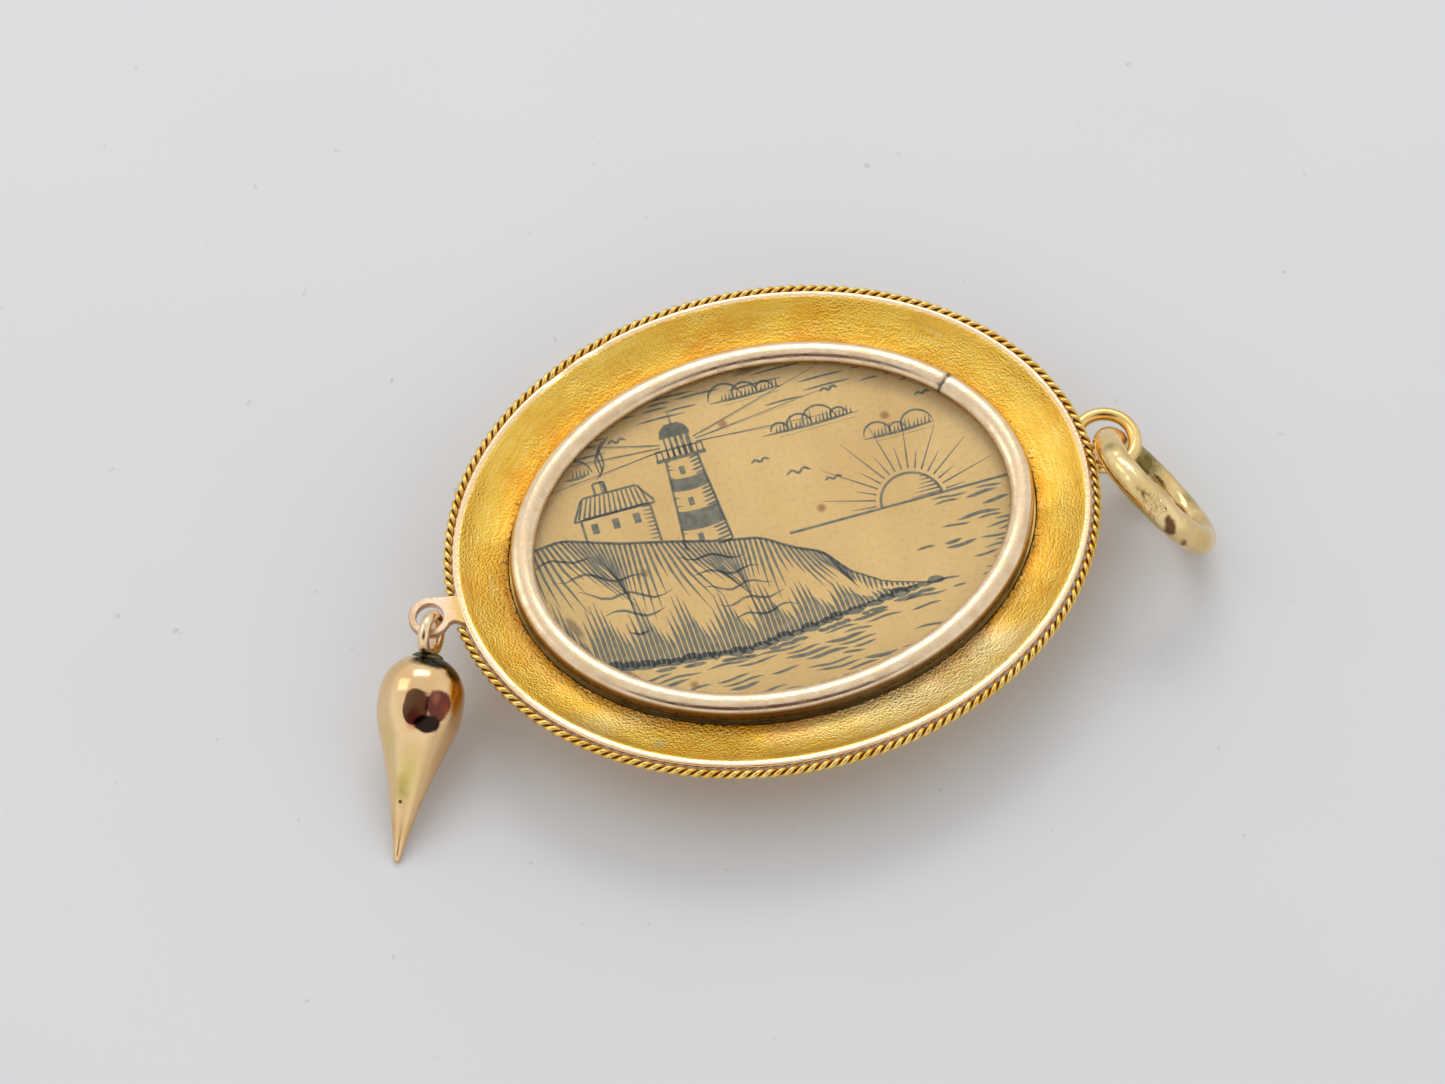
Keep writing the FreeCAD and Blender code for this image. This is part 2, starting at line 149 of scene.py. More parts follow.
world = bpy.data.worlds.new("room")
bpy.context.scene.world = world
world.use_nodes = True
tree = world.node_tree
tree.nodes.clear()
aim = node(tree, "ShaderNodeTexCoord").outputs["Generated"]
upward = node(tree, "ShaderNodeSeparateXYZ", {0: aim}).outputs["Z"]
sky = steps(tree, upward, (0.0, 0.72), (0.3, 1.0), (0.85, 0.92))


def along_way(way, scale):
    """How far a look goes along a way, in parts of a length, squared."""
    told = node(tree, "ShaderNodeVectorMath", {0: aim, 1: way / scale}, operation="DOT_PRODUCT")
    return node(tree, "ShaderNodeMath", {0: told.outputs["Value"], 1: 2.0},
                operation="POWER").outputs[0]


spread = summed(tree, along_way(DARK_ACROSS, DARK_HALF_WIDE),
                along_way(DARK_WAY.cross(DARK_ACROSS), DARK_HALF_HIGH))
uneven = cloudy(tree, aim, 2.6, 2.0)
ragged = node(tree, "ShaderNodeMath", {0: uneven, 1: 0.9, 2: spread},
              operation="MULTIPLY_ADD").outputs[0]
halved = node(tree, "ShaderNodeMath", {0: ragged, 1: 0.5}, operation="MULTIPLY").outputs[0]
onlooker = steps(tree, halved, (0.36, (0.15, 0.05, 0.05)), (0.50, (0.04, 0.025, 0.03)),
                 (0.66, (0.16, 0.09, 0.08)), (0.78, 1.0))
above = node(tree, "ShaderNodeMath", {0: upward, 1: 0.0}, operation="GREATER_THAN").outputs[0]
shade = mixed(tree, above, 1.0, onlooker)
room = mixed(tree, 1.0, mixed(tree, 1.0, sky, ROOM_COLOUR, "MULTIPLY"), shade, "MULTIPLY")
lit = node(tree, "ShaderNodeBackground", {"Color": room, "Strength": ROOM_LEVEL})
node(tree, "ShaderNodeOutputWorld", {"Surface": lit.outputs[0]})


def soft_lamp(name, spot, width, depth, watts):
    """A flat lamp panel that faces the pendant."""
    lamp = bpy.data.lights.new(name, "AREA")
    lamp.shape = "RECTANGLE"
    lamp.size = width
    lamp.size_y = depth
    lamp.energy = watts
    lamp.color = LAMP_COLOUR
    panel = bpy.data.objects.new(name, lamp)
    panel.matrix_world = (Matrix.Translation(spot)
                          @ Vector(spot).to_track_quat("Z", "Y").to_matrix().to_4x4())
    bpy.context.scene.collection.objects.link(panel)


soft_lamp("lamp_left", (-0.30, 0.20, 0.34), 0.24, 0.24, 0.16)
soft_lamp("lamp_back", (0.10, 0.34, 0.38), 0.30, 0.14, 0.50)

lens = bpy.data.cameras.new("camera")
lens.sensor_width = SENSOR_MM
lens.lens = LENS_MM
lens.clip_start = 0.01
camera = bpy.data.objects.new("camera", lens)
right_way = Vector((0.9597, -0.2804, -0.0189)).normalized()
back_way = Vector((-0.1129, -0.4463, 0.8877)).normalized()
up_way = back_way.cross(right_way).normalized()
right_way = up_way.cross(back_way)
stand = Matrix((right_way, up_way, back_way)).transposed().to_4x4()
camera.matrix_world = Matrix.Translation(CAMERA_SPOT) @ stand
bpy.context.scene.collection.objects.link(camera)
bpy.context.scene.camera = camera
bpy.context.scene.view_settings.view_transform = "Standard"


# ---- Box of the case
# An upright oval band with a flat back plate soldered to it, of thin yellow gold sheet.  It keeps
# the fine scratches of handling.  A bearer strip and a card inside press the print to the glass.

SATIN_COLOUR = (0.86, 0.56, 0.17)


def drawn_out(tree, place, scale):
    """Coordinates stretched along their axes."""
    return node(tree, "ShaderNodeMapping", {"Vector": place, "Scale": scale}).outputs[0]


def bumped(tree, height, strength, depth, under=None):
    """A relief for a surface's normal, at a depth in metres."""
    told = {"Height": height, "Strength": strength, "Distance": depth}
    if under:
        told["Normal"] = under
    return node(tree, "ShaderNodeBump", told).outputs[0]


def worn_metal(name, colour, dull, roughness, grain, depth):
    """Metal whose tone and polish vary, with fine scratches, on the piece's own coordinates."""
    material, tree, surface = finish(name, colour, roughness, 1.0)
    place = own_place(tree)
    patch = cloudy(tree, place, 420.0, 4.0)
    tone = steps(tree, patch, (0.35, dull), (0.6, colour))
    feed(surface, "Base Color", tone)
    feed(surface, "Roughness", steps(tree, patch, (0.3, min(1.0, roughness * 1.5)),
                                     (0.7, roughness)))
    lines = cloudy(tree, drawn_out(tree, place, (1.0, 12.0, 1.0)), grain, 4.0)
    feed(surface, "Normal", bumped(tree, lines, 0.5, depth))
    return material, tree, surface, tone


def dress(name, material):
    """Gives a carried-over solid its finish."""
    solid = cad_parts[name]
    solid.data.materials.clear()
    solid.data.materials.append(material)


case_gold, *_ = worn_metal("case_gold", SATIN_COLOUR, (0.62, 0.36, 0.10), 0.30, 700.0, 0.02 * MM)
for name in ("case_band", "back_plate", "card_bearer", "bezel_collar"):
    dress(name, case_gold)

card, tree, surface = finish("packing_card", (0.45, 0.35, 0.24), 0.9)
place = own_place(tree)
fibre = cloudy(tree, place, 1500.0, 5.0)
feed(surface, "Base Color", steps(tree, fibre, (0.3, (0.36, 0.27, 0.17)),
                                  (0.7, (0.52, 0.42, 0.30))))
dress("backing_card", card)


# ---- Dished border
# One oval sheet of yellow gold, hollowed like a shallow dish and given a bloomed satin skin.  Its
# outer edge is turned up into a narrow lip, which is burnished bright.

OVAL_LONG = 20.0 * MM
OVAL_WIDE = 16.34 * MM
LIP_OUT = 0.60 * MM
LIP_IN = 1.08 * MM
SEAM = 3.90 * MM
DISH_FLOOR = 4.62 * MM
DISH_RADIUS = 4.10 * MM
BORDER_SHEET = 0.40 * MM
LAPS = 8192

lap_lengths = [0.0]
for lap in range(LAPS):
    middle = (lap + 0.5) * math.tau / LAPS
    stride = math.hypot(OVAL_LONG * math.sin(middle), OVAL_WIDE * math.cos(middle))
    lap_lengths.append(lap_lengths[-1] + stride * math.tau / LAPS)
GIRTH = lap_lengths[-1]
ROUND_RADIUS_MM = GIRTH / math.tau / MM


def on_oval(share, inset, height):
    """The point at a share of the way round the oval, at an inset from it."""
    wanted = (share % 1.0) * GIRTH
    lap = min(bisect.bisect_right(lap_lengths, wanted) - 1, LAPS - 1)
    part = (wanted - lap_lengths[lap]) / (lap_lengths[lap + 1] - lap_lengths[lap])
    turn = (lap + part) * math.tau / LAPS
    outward = Vector((OVAL_WIDE * math.cos(turn), OVAL_LONG * math.sin(turn), 0)).normalized()
    rim = Vector((OVAL_LONG * math.cos(turn), OVAL_WIDE * math.sin(turn), height))
    return rim - outward * inset


def share_at(x, y):
    """The share of the way round at which a point in millimetres stands."""
    turn = math.atan2(y / OVAL_WIDE, x / OVAL_LONG) % math.tau
    return lap_lengths[int(turn / math.tau * LAPS)] / GIRTH


def lay_on_oval(work, shape=None):
    """Carries a piece that was spun round Z on to the oval.  The place that each corner had in the
    round, and its inset, are kept in millimetres for its finish to follow."""
    wrap = work.verts.layers.float_vector.new("wrap")
    inset_kept = work.verts.layers.float.new("inset")
    for corner in work.verts:
        share = math.atan2(corner.co.y, corner.co.x) / math.tau % 1.0
        inset = OVAL_LONG - math.hypot(corner.co.x, corner.co.y)
        height = corner.co.z
        if shape:
            inset, height = shape(share, inset, height)
        turn = share * math.tau
        corner[wrap] = (ROUND_RADIUS_MM * math.cos(turn), ROUND_RADIUS_MM * math.sin(turn),
                        (inset - height) / MM)
        corner[inset_kept] = inset / MM
        corner.co = on_oval(share, inset, height)


def spin_round(work, geom, steps_round):
    """Spins a section once round Z and closes its seam."""
    bmesh.ops.spin(work, geom=geom, cent=(0, 0, 0), axis=(0, 0, 1), dvec=(0, 0, 0),
                   angle=math.tau, steps=steps_round, use_merge=True)
    bmesh.ops.remove_doubles(work, verts=work.verts, dist=1e-7)


def smooth_out(work):
    """Turns the faces outwards and shades them as one surface."""
    bmesh.ops.recalc_face_normals(work, faces=work.faces)
    for face in work.faces:
        face.smooth = True


def spun_oval(section, steps_round, shape=None):
    """A ring whose closed section, as insets and heights, is spun round and laid on the oval."""
    work = bmesh.new()
    corners = [work.verts.new((OVAL_LONG - inset, 0, height)) for inset, height in section]
    edges = [work.edges.new((a, b)) for a, b in zip(corners, corners[1:] + corners[:1])]
    spin_round(work, corners + edges, steps_round)
    lay_on_oval(work, shape)
    smooth_out(work)
    return work


def dish_height(inset, radius):
    """Height of the hollow at an inset, for the front or for the back of the sheet."""
    centre_inset = SEAM + 0.08 * MM
    return DISH_FLOOR + DISH_RADIUS - math.sqrt(radius ** 2 - (centre_inset - inset) ** 2)


HOLLOW_STEPS = 22
BACK_STEPS = 10
BACK_LIP = 1.06 * MM
border_section = []
for step in range(HOLLOW_STEPS):
    inset = SEAM - (SEAM - LIP_IN) * step / HOLLOW_STEPS
    border_section.append((inset, dish_height(inset, DISH_RADIUS)))
border_section += [(inset * MM, height * MM) for inset, height in (
    (1.08, 5.805), (1.03, 5.835), (0.98, 5.850), (0.80, 5.872), (0.70, 5.88), (0.64, 5.862),
    (0.605, 5.82), (0.60, 5.76), (0.60, 5.40), (0.63, 5.335), (0.70, 5.32))]
for step in range(BACK_STEPS + 1):
    inset = BACK_LIP + (SEAM - BACK_LIP) * step / BACK_STEPS
    border_section.append((inset, dish_height(inset, DISH_RADIUS + BORDER_SHEET)))
# where each dent is, how far it spreads and how deep it goes
RIM_DENTS = [(share_at(-9.5, 13.62), 0.010, 0.16), (share_at(-6.74, 14.41), 0.006, 0.10),
             (share_at(11.0, -12.8), 0.012, 0.05), (share_at(-17.0, -7.0), 0.008, 0.05)]


def used_rim(share, inset, height):
    """The lip of a worn piece: long gentle waves, and a few small dents."""
    lip = max(0.0, 1.0 - max(0.0, inset - LIP_OUT) / (1.4 * MM))
    turn = share * math.tau
    sway = noise.noise(Vector((3 * math.cos(turn), 3 * math.sin(turn), 0.3)))
    height -= lip * (0.035 * sway + 0.025) * MM
    for where, spread, deep in RIM_DENTS:
        height -= lip * deep * MM * math.exp(-((share - where) / spread) ** 2)
    return inset, height


def spread_over(tree, value, low, high, to_low=0.0, to_high=1.0):
    """A value carried from one range to another."""
    return node(tree, "ShaderNodeMapRange", {"Value": value, "From Min": low, "From Max": high,
                                             "To Min": to_low, "To Max": to_high}).outputs[0]


def marked(tree, tone, place, spot, halves, colour, soft=0.25, ragged=900.0, amount=1.0,
           unit=MM):
    """Lays a ragged oval mark over a tone, at a spot and with half sizes in a unit."""
    near = node(tree, "ShaderNodeMapping", {"Vector": place, "Location": Vector(spot) * unit,
                                            "Scale": Vector(halves) * unit},
                vector_type="TEXTURE")
    off = node(tree, "ShaderNodeVectorMath", {0: near.outputs[0]}, operation="LENGTH")
    reach = node(tree, "ShaderNodeMath", {0: cloudy(tree, place, ragged, 4.0), 1: 0.8,
                                          2: off.outputs["Value"]}, operation="MULTIPLY_ADD")
    share = spread_over(tree, reach.outputs[0], 1.4, 1.4 - soft, 0.0, amount)
    return mixed(tree, share, tone, colour)


def new_piece(name, mesh_work, material, body, replaced=()):
    """Turns the mesh work into an object that rides on a body."""
    mesh = bpy.data.meshes.new(name)
    mesh_work.to_mesh(mesh)
    mesh_work.free()
    mesh.materials.append(material)
    piece = bpy.data.objects.new(name, mesh)
    bpy.context.scene.collection.objects.link(piece)
    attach(piece, body)
    if replaced:
        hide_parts(*replaced)


border_work = spun_oval(border_section, 480, used_rim)

bloomed, tree, surface = finish("bloomed_gold", (0.88, 0.55, 0.14), 0.36, 1.0)
wrap = node(tree, "ShaderNodeAttribute", attribute_name="wrap").outputs["Vector"]
inset_told = node(tree, "ShaderNodeAttribute", attribute_name="inset").outputs["Fac"]
from_lip = spread_over(tree, inset_told, 0.6, 3.98)
grain = cloudy(tree, drawn_out(tree, wrap, (1, 1, 0.5)), 8.0, 5.0, 0.7)
pits = node(tree, "ShaderNodeTexVoronoi", {"Vector": wrap, "Scale": 5.5})
patch = cloudy(tree, wrap, 0.28, 4.0)
bloom = cloudy(tree, wrap, 0.13, 2.0)
lines_place = drawn_out(tree, wrap, (1, 1, 9))
wear_lines = cloudy(tree, lines_place, 1.3, 5.0)
yellow = steps(tree, patch, (0.32, (0.90, 0.47, 0.045)), (0.50, (0.97, 0.61, 0.080)),
               (0.68, (0.99, 0.69, 0.12)))
# painted shade: the gold is painted darker and browner towards the bezel, where the dish runs in
# under it, and darkest in the seam, where there is dark grime too
deep = steps(tree, from_lip, (0.50, 1.0), (0.80, (0.97, 0.84, 0.62)), (0.95, (0.80, 0.55, 0.28)),
             (0.985, (0.40, 0.25, 0.10)), (1.0, (0.10, 0.07, 0.03)))
tone = mixed(tree, 1.0, yellow, deep, "MULTIPLY")
mottle = cloudy(tree, lines_place, 0.45, 6.0, 0.72)
tone = mixed(tree, 1.0, tone, steps(tree, mottle, (0.36, (0.92, 0.84, 0.70)), (0.52, 1.0)),
             "MULTIPLY")
tone = mixed(tree, steps(tree, mottle, (0.55, 0.0), (0.72, 0.75)), tone, (0.98, 0.80, 0.32))
grime = cloudy(tree, wrap, 3.2, 4.0)
low = steps(tree, from_lip, (0.72, 0.0), (1.0, 0.34))
crumbs = summed(tree, grime, low)
tone = mixed(tree, steps(tree, crumbs, (0.80, 0.0), (0.86, 0.85)), tone, (0.24, 0.15, 0.04))
place = own_place(tree)
tone = marked(tree, tone, place, (-10.53, -11.85, 4.9), (0.5, 0.3, 0.6), (0.66, 0.62, 0.26), 0.4)
# painted highlight: pale patches on the front part of the dish stand in for the gleam of the lamp
# behind it
for spot, spread, amount in (((5.5, -13.2, 4.8), (11.0, 2.2, 4.0), 0.62),
                             ((10.5, -11.2, 4.8), (4.0, 1.6, 4.0), 0.60),
                             ((-13.5, -9.6, 4.8), (5.0, 1.4, 4.0), 0.35)):
    tone = marked(tree, tone, place, spot, spread, (1.0, 0.88, 0.47), 0.8, 700.0, amount)
lip_mask = steps(tree, from_lip, (0.100, 1.0), (0.125, 0.0))
tone = mixed(tree, lip_mask, tone, (0.92, 0.65, 0.38))
feed(surface, "Base Color", tone)
surface.inputs["Coat Weight"].default_value = 0.3
surface.inputs["Coat Roughness"].default_value = 0.22
satin = steps(tree, grain, (0.3, 0.34), (0.7, 0.50))
feed(surface, "Roughness", mixed(tree, lip_mask, satin, 0.20))
relief = summed(tree, grain, pits.outputs["Distance"])
stippled = steps(tree, bloom, (0.42, 0.35), (0.58, 1.0))
skin = bumped(tree, relief, mixed(tree, lip_mask, stippled, 0.08), 0.07 * MM)
feed(surface, "Normal", bumped(tree, wear_lines, 0.45, 0.03 * MM, skin))
new_piece("border_dish", border_work, bloomed, "case", ["front_border"])


# ---- Rope edging
# Two fine gold wires twisted together and soldered all round under the lip.  The rope is open
# where the neck of the eyelet comes through; painted shade, with some old polish, darkens it
# between its strands.

ROPE_WIRE = 0.58 * MM
ROPE_HEIGHT = 5.48 * MM
ROPE_TURNS = 86
ROPE_STEPS = 12 * ROPE_TURNS
STRAND_FACETS = 8
STRAND_SWELL = 1.22
NECK_PLACE = share_at(-20.0, -0.20)
NECK_HALF = 1.13 * MM / GIRTH


def turn_by(work, corners, angle, axis):
    """Turns corners about an axis through the middle."""
    bmesh.ops.rotate(work, verts=corners, cent=(0, 0, 0), matrix=Matrix.Rotation(angle, 3, axis))


rope_work = bmesh.new()
for strand in (1, -1):
    ring = bmesh.ops.create_circle(rope_work, segments=STRAND_FACETS, radius=ROPE_WIRE / 4)["verts"]
    bmesh.ops.scale(rope_work, verts=ring, vec=(1.0, STRAND_SWELL, 1.0))
    turn_by(rope_work, ring, math.pi / 2, "X")
    bmesh.ops.translate(rope_work, verts=ring, vec=(
        OVAL_LONG - ROPE_WIRE / 2 + strand * ROPE_WIRE / 4, 0, ROPE_HEIGHT))
    turn_by(rope_work, ring, (NECK_PLACE + NECK_HALF) * math.tau, "Z")
    ring_edges = list({edge for corner in ring for edge in corner.link_edges})
    bmesh.ops.spin(rope_work, geom=ring + ring_edges, cent=(0, 0, 0), axis=(0, 0, 1),
                   dvec=(0, 0, 0), angle=math.tau * (1 - 2 * NECK_HALF), steps=ROPE_STEPS)
bmesh.ops.holes_fill(rope_work, edges=[edge for edge in rope_work.edges if edge.is_boundary],
                     sides=STRAND_FACETS)
core = rope_work.verts.layers.float.new("core")


def twisted(share, inset, height):
    """Turns the rope's section as it goes round."""
    turn = -share * math.tau * ROPE_TURNS
    out = inset - ROPE_WIRE / 2
    up = height - ROPE_HEIGHT
    return (ROPE_WIRE / 2 + out * math.cos(turn) - up * math.sin(turn),
            ROPE_HEIGHT + out * math.sin(turn) + up * math.cos(turn))


for corner in rope_work.verts:
    out = OVAL_LONG - math.hypot(corner.co.x, corner.co.y) - ROPE_WIRE / 2
    corner[core] = math.hypot(out, corner.co.z - ROPE_HEIGHT) / (ROPE_WIRE / 2)
lay_on_oval(rope_work, twisted)
bmesh.ops.recalc_face_normals(rope_work, faces=rope_work.faces)
for face in rope_work.faces:
    face.smooth = len(face.verts) == 4

rope_gold, tree, surface = finish("rope_gold", (0.86, 0.58, 0.20), 0.20, 1.0)
out_from_core = node(tree, "ShaderNodeAttribute", attribute_name="core").outputs["Fac"]
place = own_place(tree)
patch = cloudy(tree, place, 500.0, 3.0)
bright = steps(tree, patch, (0.35, (0.84, 0.52, 0.10)), (0.65, (0.93, 0.66, 0.20)))
# painted shade: the rope is painted darker where its two strands meet, with some old polish there
# too
gap_shade = steps(tree, out_from_core, (0.35, (0.30, 0.19, 0.08)), (0.62, (0.70, 0.55, 0.35)),
            (0.78, 1.0))
feed(surface, "Base Color", mixed(tree, 1.0, bright, gap_shade, "MULTIPLY"))
feed(surface, "Roughness", steps(tree, out_from_core, (0.5, 0.6), (0.9, 0.26)))
new_piece("rope_twist", rope_work, rope_gold, "case", ["rope_edging"])


# ---- Bezel ring
# A half-round ring of rose gold, bent to the oval and closed with one soldered joint.  It holds
# the glass, and is polished bright; the narrow seam round it has filled with dark grime, and
# painted shade darkens its outer wall and foot.

BEZEL_OUT = 4.02 * MM
BEZEL_IN = 5.47 * MM
BEZEL_FOOT = 4.53 * MM
BEZEL_SHOULDER = 5.51 * MM
BEZEL_UNDER = 5.36 * MM
COLLAR_IN = 4.63 * MM
BEZEL_RISE = 0.49 * MM
CROWN_STEPS = 24
CROWN_POWER = 2.2
CROWN_FULLNESS = 0.52
JOINT_PLACE = share_at(12.83, 7.32)

middle_inset = (BEZEL_OUT + BEZEL_IN) / 2
half_width = (BEZEL_IN - BEZEL_OUT) / 2
bezel_section = []
for step in range(CROWN_STEPS + 1):
    across = math.sin(math.pi / 2 * (2 * step / CROWN_STEPS - 1))
    crown = max(0.0, 1 - abs(across) ** CROWN_POWER) ** CROWN_FULLNESS
    bezel_section.append((middle_inset + half_width * across, BEZEL_SHOULDER + BEZEL_RISE * crown))
bezel_section += [(BEZEL_IN, 5.44 * MM), (BEZEL_IN - 0.02 * MM, BEZEL_UNDER),
                  (COLLAR_IN, BEZEL_UNDER), (COLLAR_IN, BEZEL_FOOT), (BEZEL_OUT, BEZEL_FOOT),
                  (BEZEL_OUT, 5.0 * MM), (BEZEL_OUT, 5.35 * MM)]


def bent_ring(share, inset, height):
    """A ring bent by hand, with a nick along its soldered joint."""
    turn = share * math.tau
    wave = noise.noise(Vector((2.4 * math.cos(turn), 2.4 * math.sin(turn), 7.1)))
    top = max(0.0, height - 5.3 * MM) / (0.7 * MM)
    height += top * 0.02 * MM * (wave - 0.4)
    apart = (share - JOINT_PLACE) * GIRTH / MM
    height -= top * 0.05 * MM * math.exp(-(apart / 0.20) ** 2)
    return inset, height


bezel_work = spun_oval(bezel_section, 640, bent_ring)
rose_gold, tree, surface = finish("rose_gold", (0.84, 0.65, 0.42), 0.22, 1.0)
wrap = node(tree, "ShaderNodeAttribute", attribute_name="wrap").outputs["Vector"]
inset_told = node(tree, "ShaderNodeAttribute", attribute_name="inset").outputs["Fac"]
patch = cloudy(tree, wrap, 0.9, 5.0)
rose = steps(tree, patch, (0.35, (0.74, 0.53, 0.32)), (0.6, (0.84, 0.65, 0.42)))
joint_turn = JOINT_PLACE * math.tau
joint_spot = (ROUND_RADIUS_MM * math.cos(joint_turn), ROUND_RADIUS_MM * math.sin(joint_turn), -1.2)
tone = marked(tree, rose, wrap, joint_spot, (0.9, 0.9, 3.0), (0.62, 0.50, 0.36), 1.0, 2.0, unit=1)
tone = marked(tree, tone, wrap, joint_spot, (0.22, 0.22, 3.0), (0.20, 0.15, 0.10), 0.5, 3.0,
              unit=1)
# painted shade and a painted dark reflection: the outer wall of the ring is painted dark mauve, and
# its inner edge a little darker
edges = steps(tree, spread_over(tree, inset_told, 4.0, 5.5), (0.02, (0.24, 0.21, 0.21)),
              (0.06, (0.58, 0.50, 0.54)), (0.12, 1.0), (0.95, 1.0), (0.985, (0.55, 0.40, 0.30)))
# painted shade with dark grime: the ring is painted darker towards its foot, down in the seam
height_told = node(tree, "ShaderNodeSeparateXYZ", {0: own_place(tree)}).outputs["Z"]
seam_grime_and_shade = steps(tree, spread_over(tree, height_told, 4.6 * MM, 5.1 * MM),
                   (0.12, (0.10, 0.07, 0.055)), (0.45, (0.80, 0.76, 0.80)), (0.8, 1.0))
edges = mixed(tree, 1.0, edges, seam_grime_and_shade, "MULTIPLY")
feed(surface, "Base Color", mixed(tree, 1.0, tone, edges, "MULTIPLY"))
feed(surface, "Roughness", steps(tree, patch, (0.3, 0.32), (0.65, 0.18)))
fine = drawn_out(tree, wrap, (1, 1, 9))
lines = cloudy(tree, fine, 1.6, 5.0)
feed(surface, "Normal", bumped(tree, lines, 0.3, 0.03 * MM))
new_piece("bezel_half_round", bezel_work, rose_gold, "glazed_bezel", ["bezel_ring"])


# ---- Glass
# A flat oval of clear window glass that lies in the bezel.  It was cut by hand, and its edge is
# hidden under the ring.

glass, tree, surface = finish("clear_glass", (0.985, 0.99, 0.98), 0.0)
surface.inputs["Transmission Weight"].default_value = 1.0
surface.inputs["IOR"].default_value = 1.46
place = own_place(tree)
smear = cloudy(tree, place, 250.0, 4.0)
feed(surface, "Roughness", steps(tree, smear, (0.45, 0.0), (0.75, 0.05)))
clear = node(tree, "ShaderNodeBsdfTransparent", {"Color": rgba((0.96, 0.97, 0.96))})
shaded = node(tree, "ShaderNodeLightPath").outputs["Is Shadow Ray"]
either = node(tree, "ShaderNodeMixShader", {0: shaded, 1: surface.outputs[0],
                                            2: clear.outputs[0]})
tree.links.new(either.outputs[0], tree.nodes["Material Output"].inputs["Surface"])
dress("cover_glass", glass)


# ---- Picture
# A small engraving in grey-green ink on laid paper that has turned tan.  It shows a harbour light
# on a headland: all its shading is hatched in lines about a third of a millimetre apart.

PAPER_TOP = 4.54 * MM
INK_LIFT = 0.004 * MM

paper, tree, surface = finish("tan_paper", (0.72, 0.50, 0.22), 0.85)
place = own_place(tree)
patch = cloudy(tree, place, 160.0, 5.0)
fibre = cloudy(tree, place, 3500.0, 3.0)
tan = steps(tree, patch, (0.35, (0.70, 0.43, 0.13)), (0.65, (0.79, 0.52, 0.18)))
fleck = steps(tree, fibre, (0.25, 0.86), (0.5, 1.0))
foxing = node(tree, "ShaderNodeTexVoronoi", {"Vector": place, "Scale": 190.0})
spots = steps(tree, foxing.outputs["Distance"], (0.03, (0.55, 0.36, 0.18)), (0.07, 1.0))
tone = mixed(tree, 1.0, mixed(tree, 1.0, tan, fleck, "MULTIPLY"), spots, "MULTIPLY")
# dust and crumbs of old cement have crept in at the edge of the glass
for x, y, half_long, half_wide, turn in (
        (-13.14, -2.96, 1.1, 0.32, -1.2), (1.84, 11.0, 1.5, 0.25, 0.1),
        (-4.6, 10.9, 2.2, 0.22, 0.25), (-11.2, -6.4, 1.8, 0.2, -0.8),
        (12.6, 6.1, 1.6, 0.16, -0.9)):
    near = node(tree, "ShaderNodeMapping", {
        "Vector": place, "Location": Vector((x, y, 4.54)) * MM, "Rotation": (0, 0, turn),
        "Scale": Vector((half_long, half_wide, 1.0)) * MM}, vector_type="TEXTURE").outputs[0]
    tone = marked(tree, tone, near, (0, 0, 0), (1, 1, 1), (0.24, 0.15, 0.05), 0.5, 2.4, 0.85,
                  unit=1)
feed(surface, "Base Color", tone)
dress("picture_print", paper)

ink_work = bmesh.new()
chance = random.Random(11)


def stroke(points, width, start=1.0, end=1.0, parts=None):
    """One engraved line along a few points in millimetres; start and end thin its ends."""
    parts = parts or max(1, len(points) - 1)
    lengths = [0.0]
    for a, b in zip(points, points[1:]):
        lengths.append(lengths[-1] + math.dist(a, b))
    if lengths[-1] < 0.05:
        return
    strip = bmesh.ops.create_grid(ink_work, x_segments=parts, y_segments=1, size=1.0)["verts"]
    for corner in strip:
        share = (corner.co.x + 1) / 2
        along = share * lengths[-1]
        leg = min(bisect.bisect_right(lengths, along), len(points) - 1) - 1
        a, b = points[leg], points[leg + 1]
        part = (along - lengths[leg]) / (lengths[leg + 1] - lengths[leg])
        way = ((b[0] - a[0]) / math.dist(a, b), (b[1] - a[1]) / math.dist(a, b))
        thin = start + (1 - start) * min(1, share * 4) if share < 0.5 else (
            end + (1 - end) * min(1, (1 - share) * 4))
        side = corner.co.y * width / 2 * thin
        corner.co = Vector(((a[0] + (b[0] - a[0]) * part - way[1] * side) * MM,
                            (a[1] + (b[1] - a[1]) * part + way[0] * side) * MM,
                            PAPER_TOP + INK_LIFT))


def between(line, x):
    """Height of a broken line at x."""
    for (x0, y0), (x1, y1) in zip(line, line[1:]):
        if x0 <= x <= x1:
            return y0 + (y1 - y0) * (x - x0) / (x1 - x0)
    return line[-1][1]


def around(x, y, radius, turn):
    """The point at a turn round a middle."""
    return x + radius * math.cos(turn), y + radius * math.sin(turn)


LINE = 0.155
HATCH = 0.33
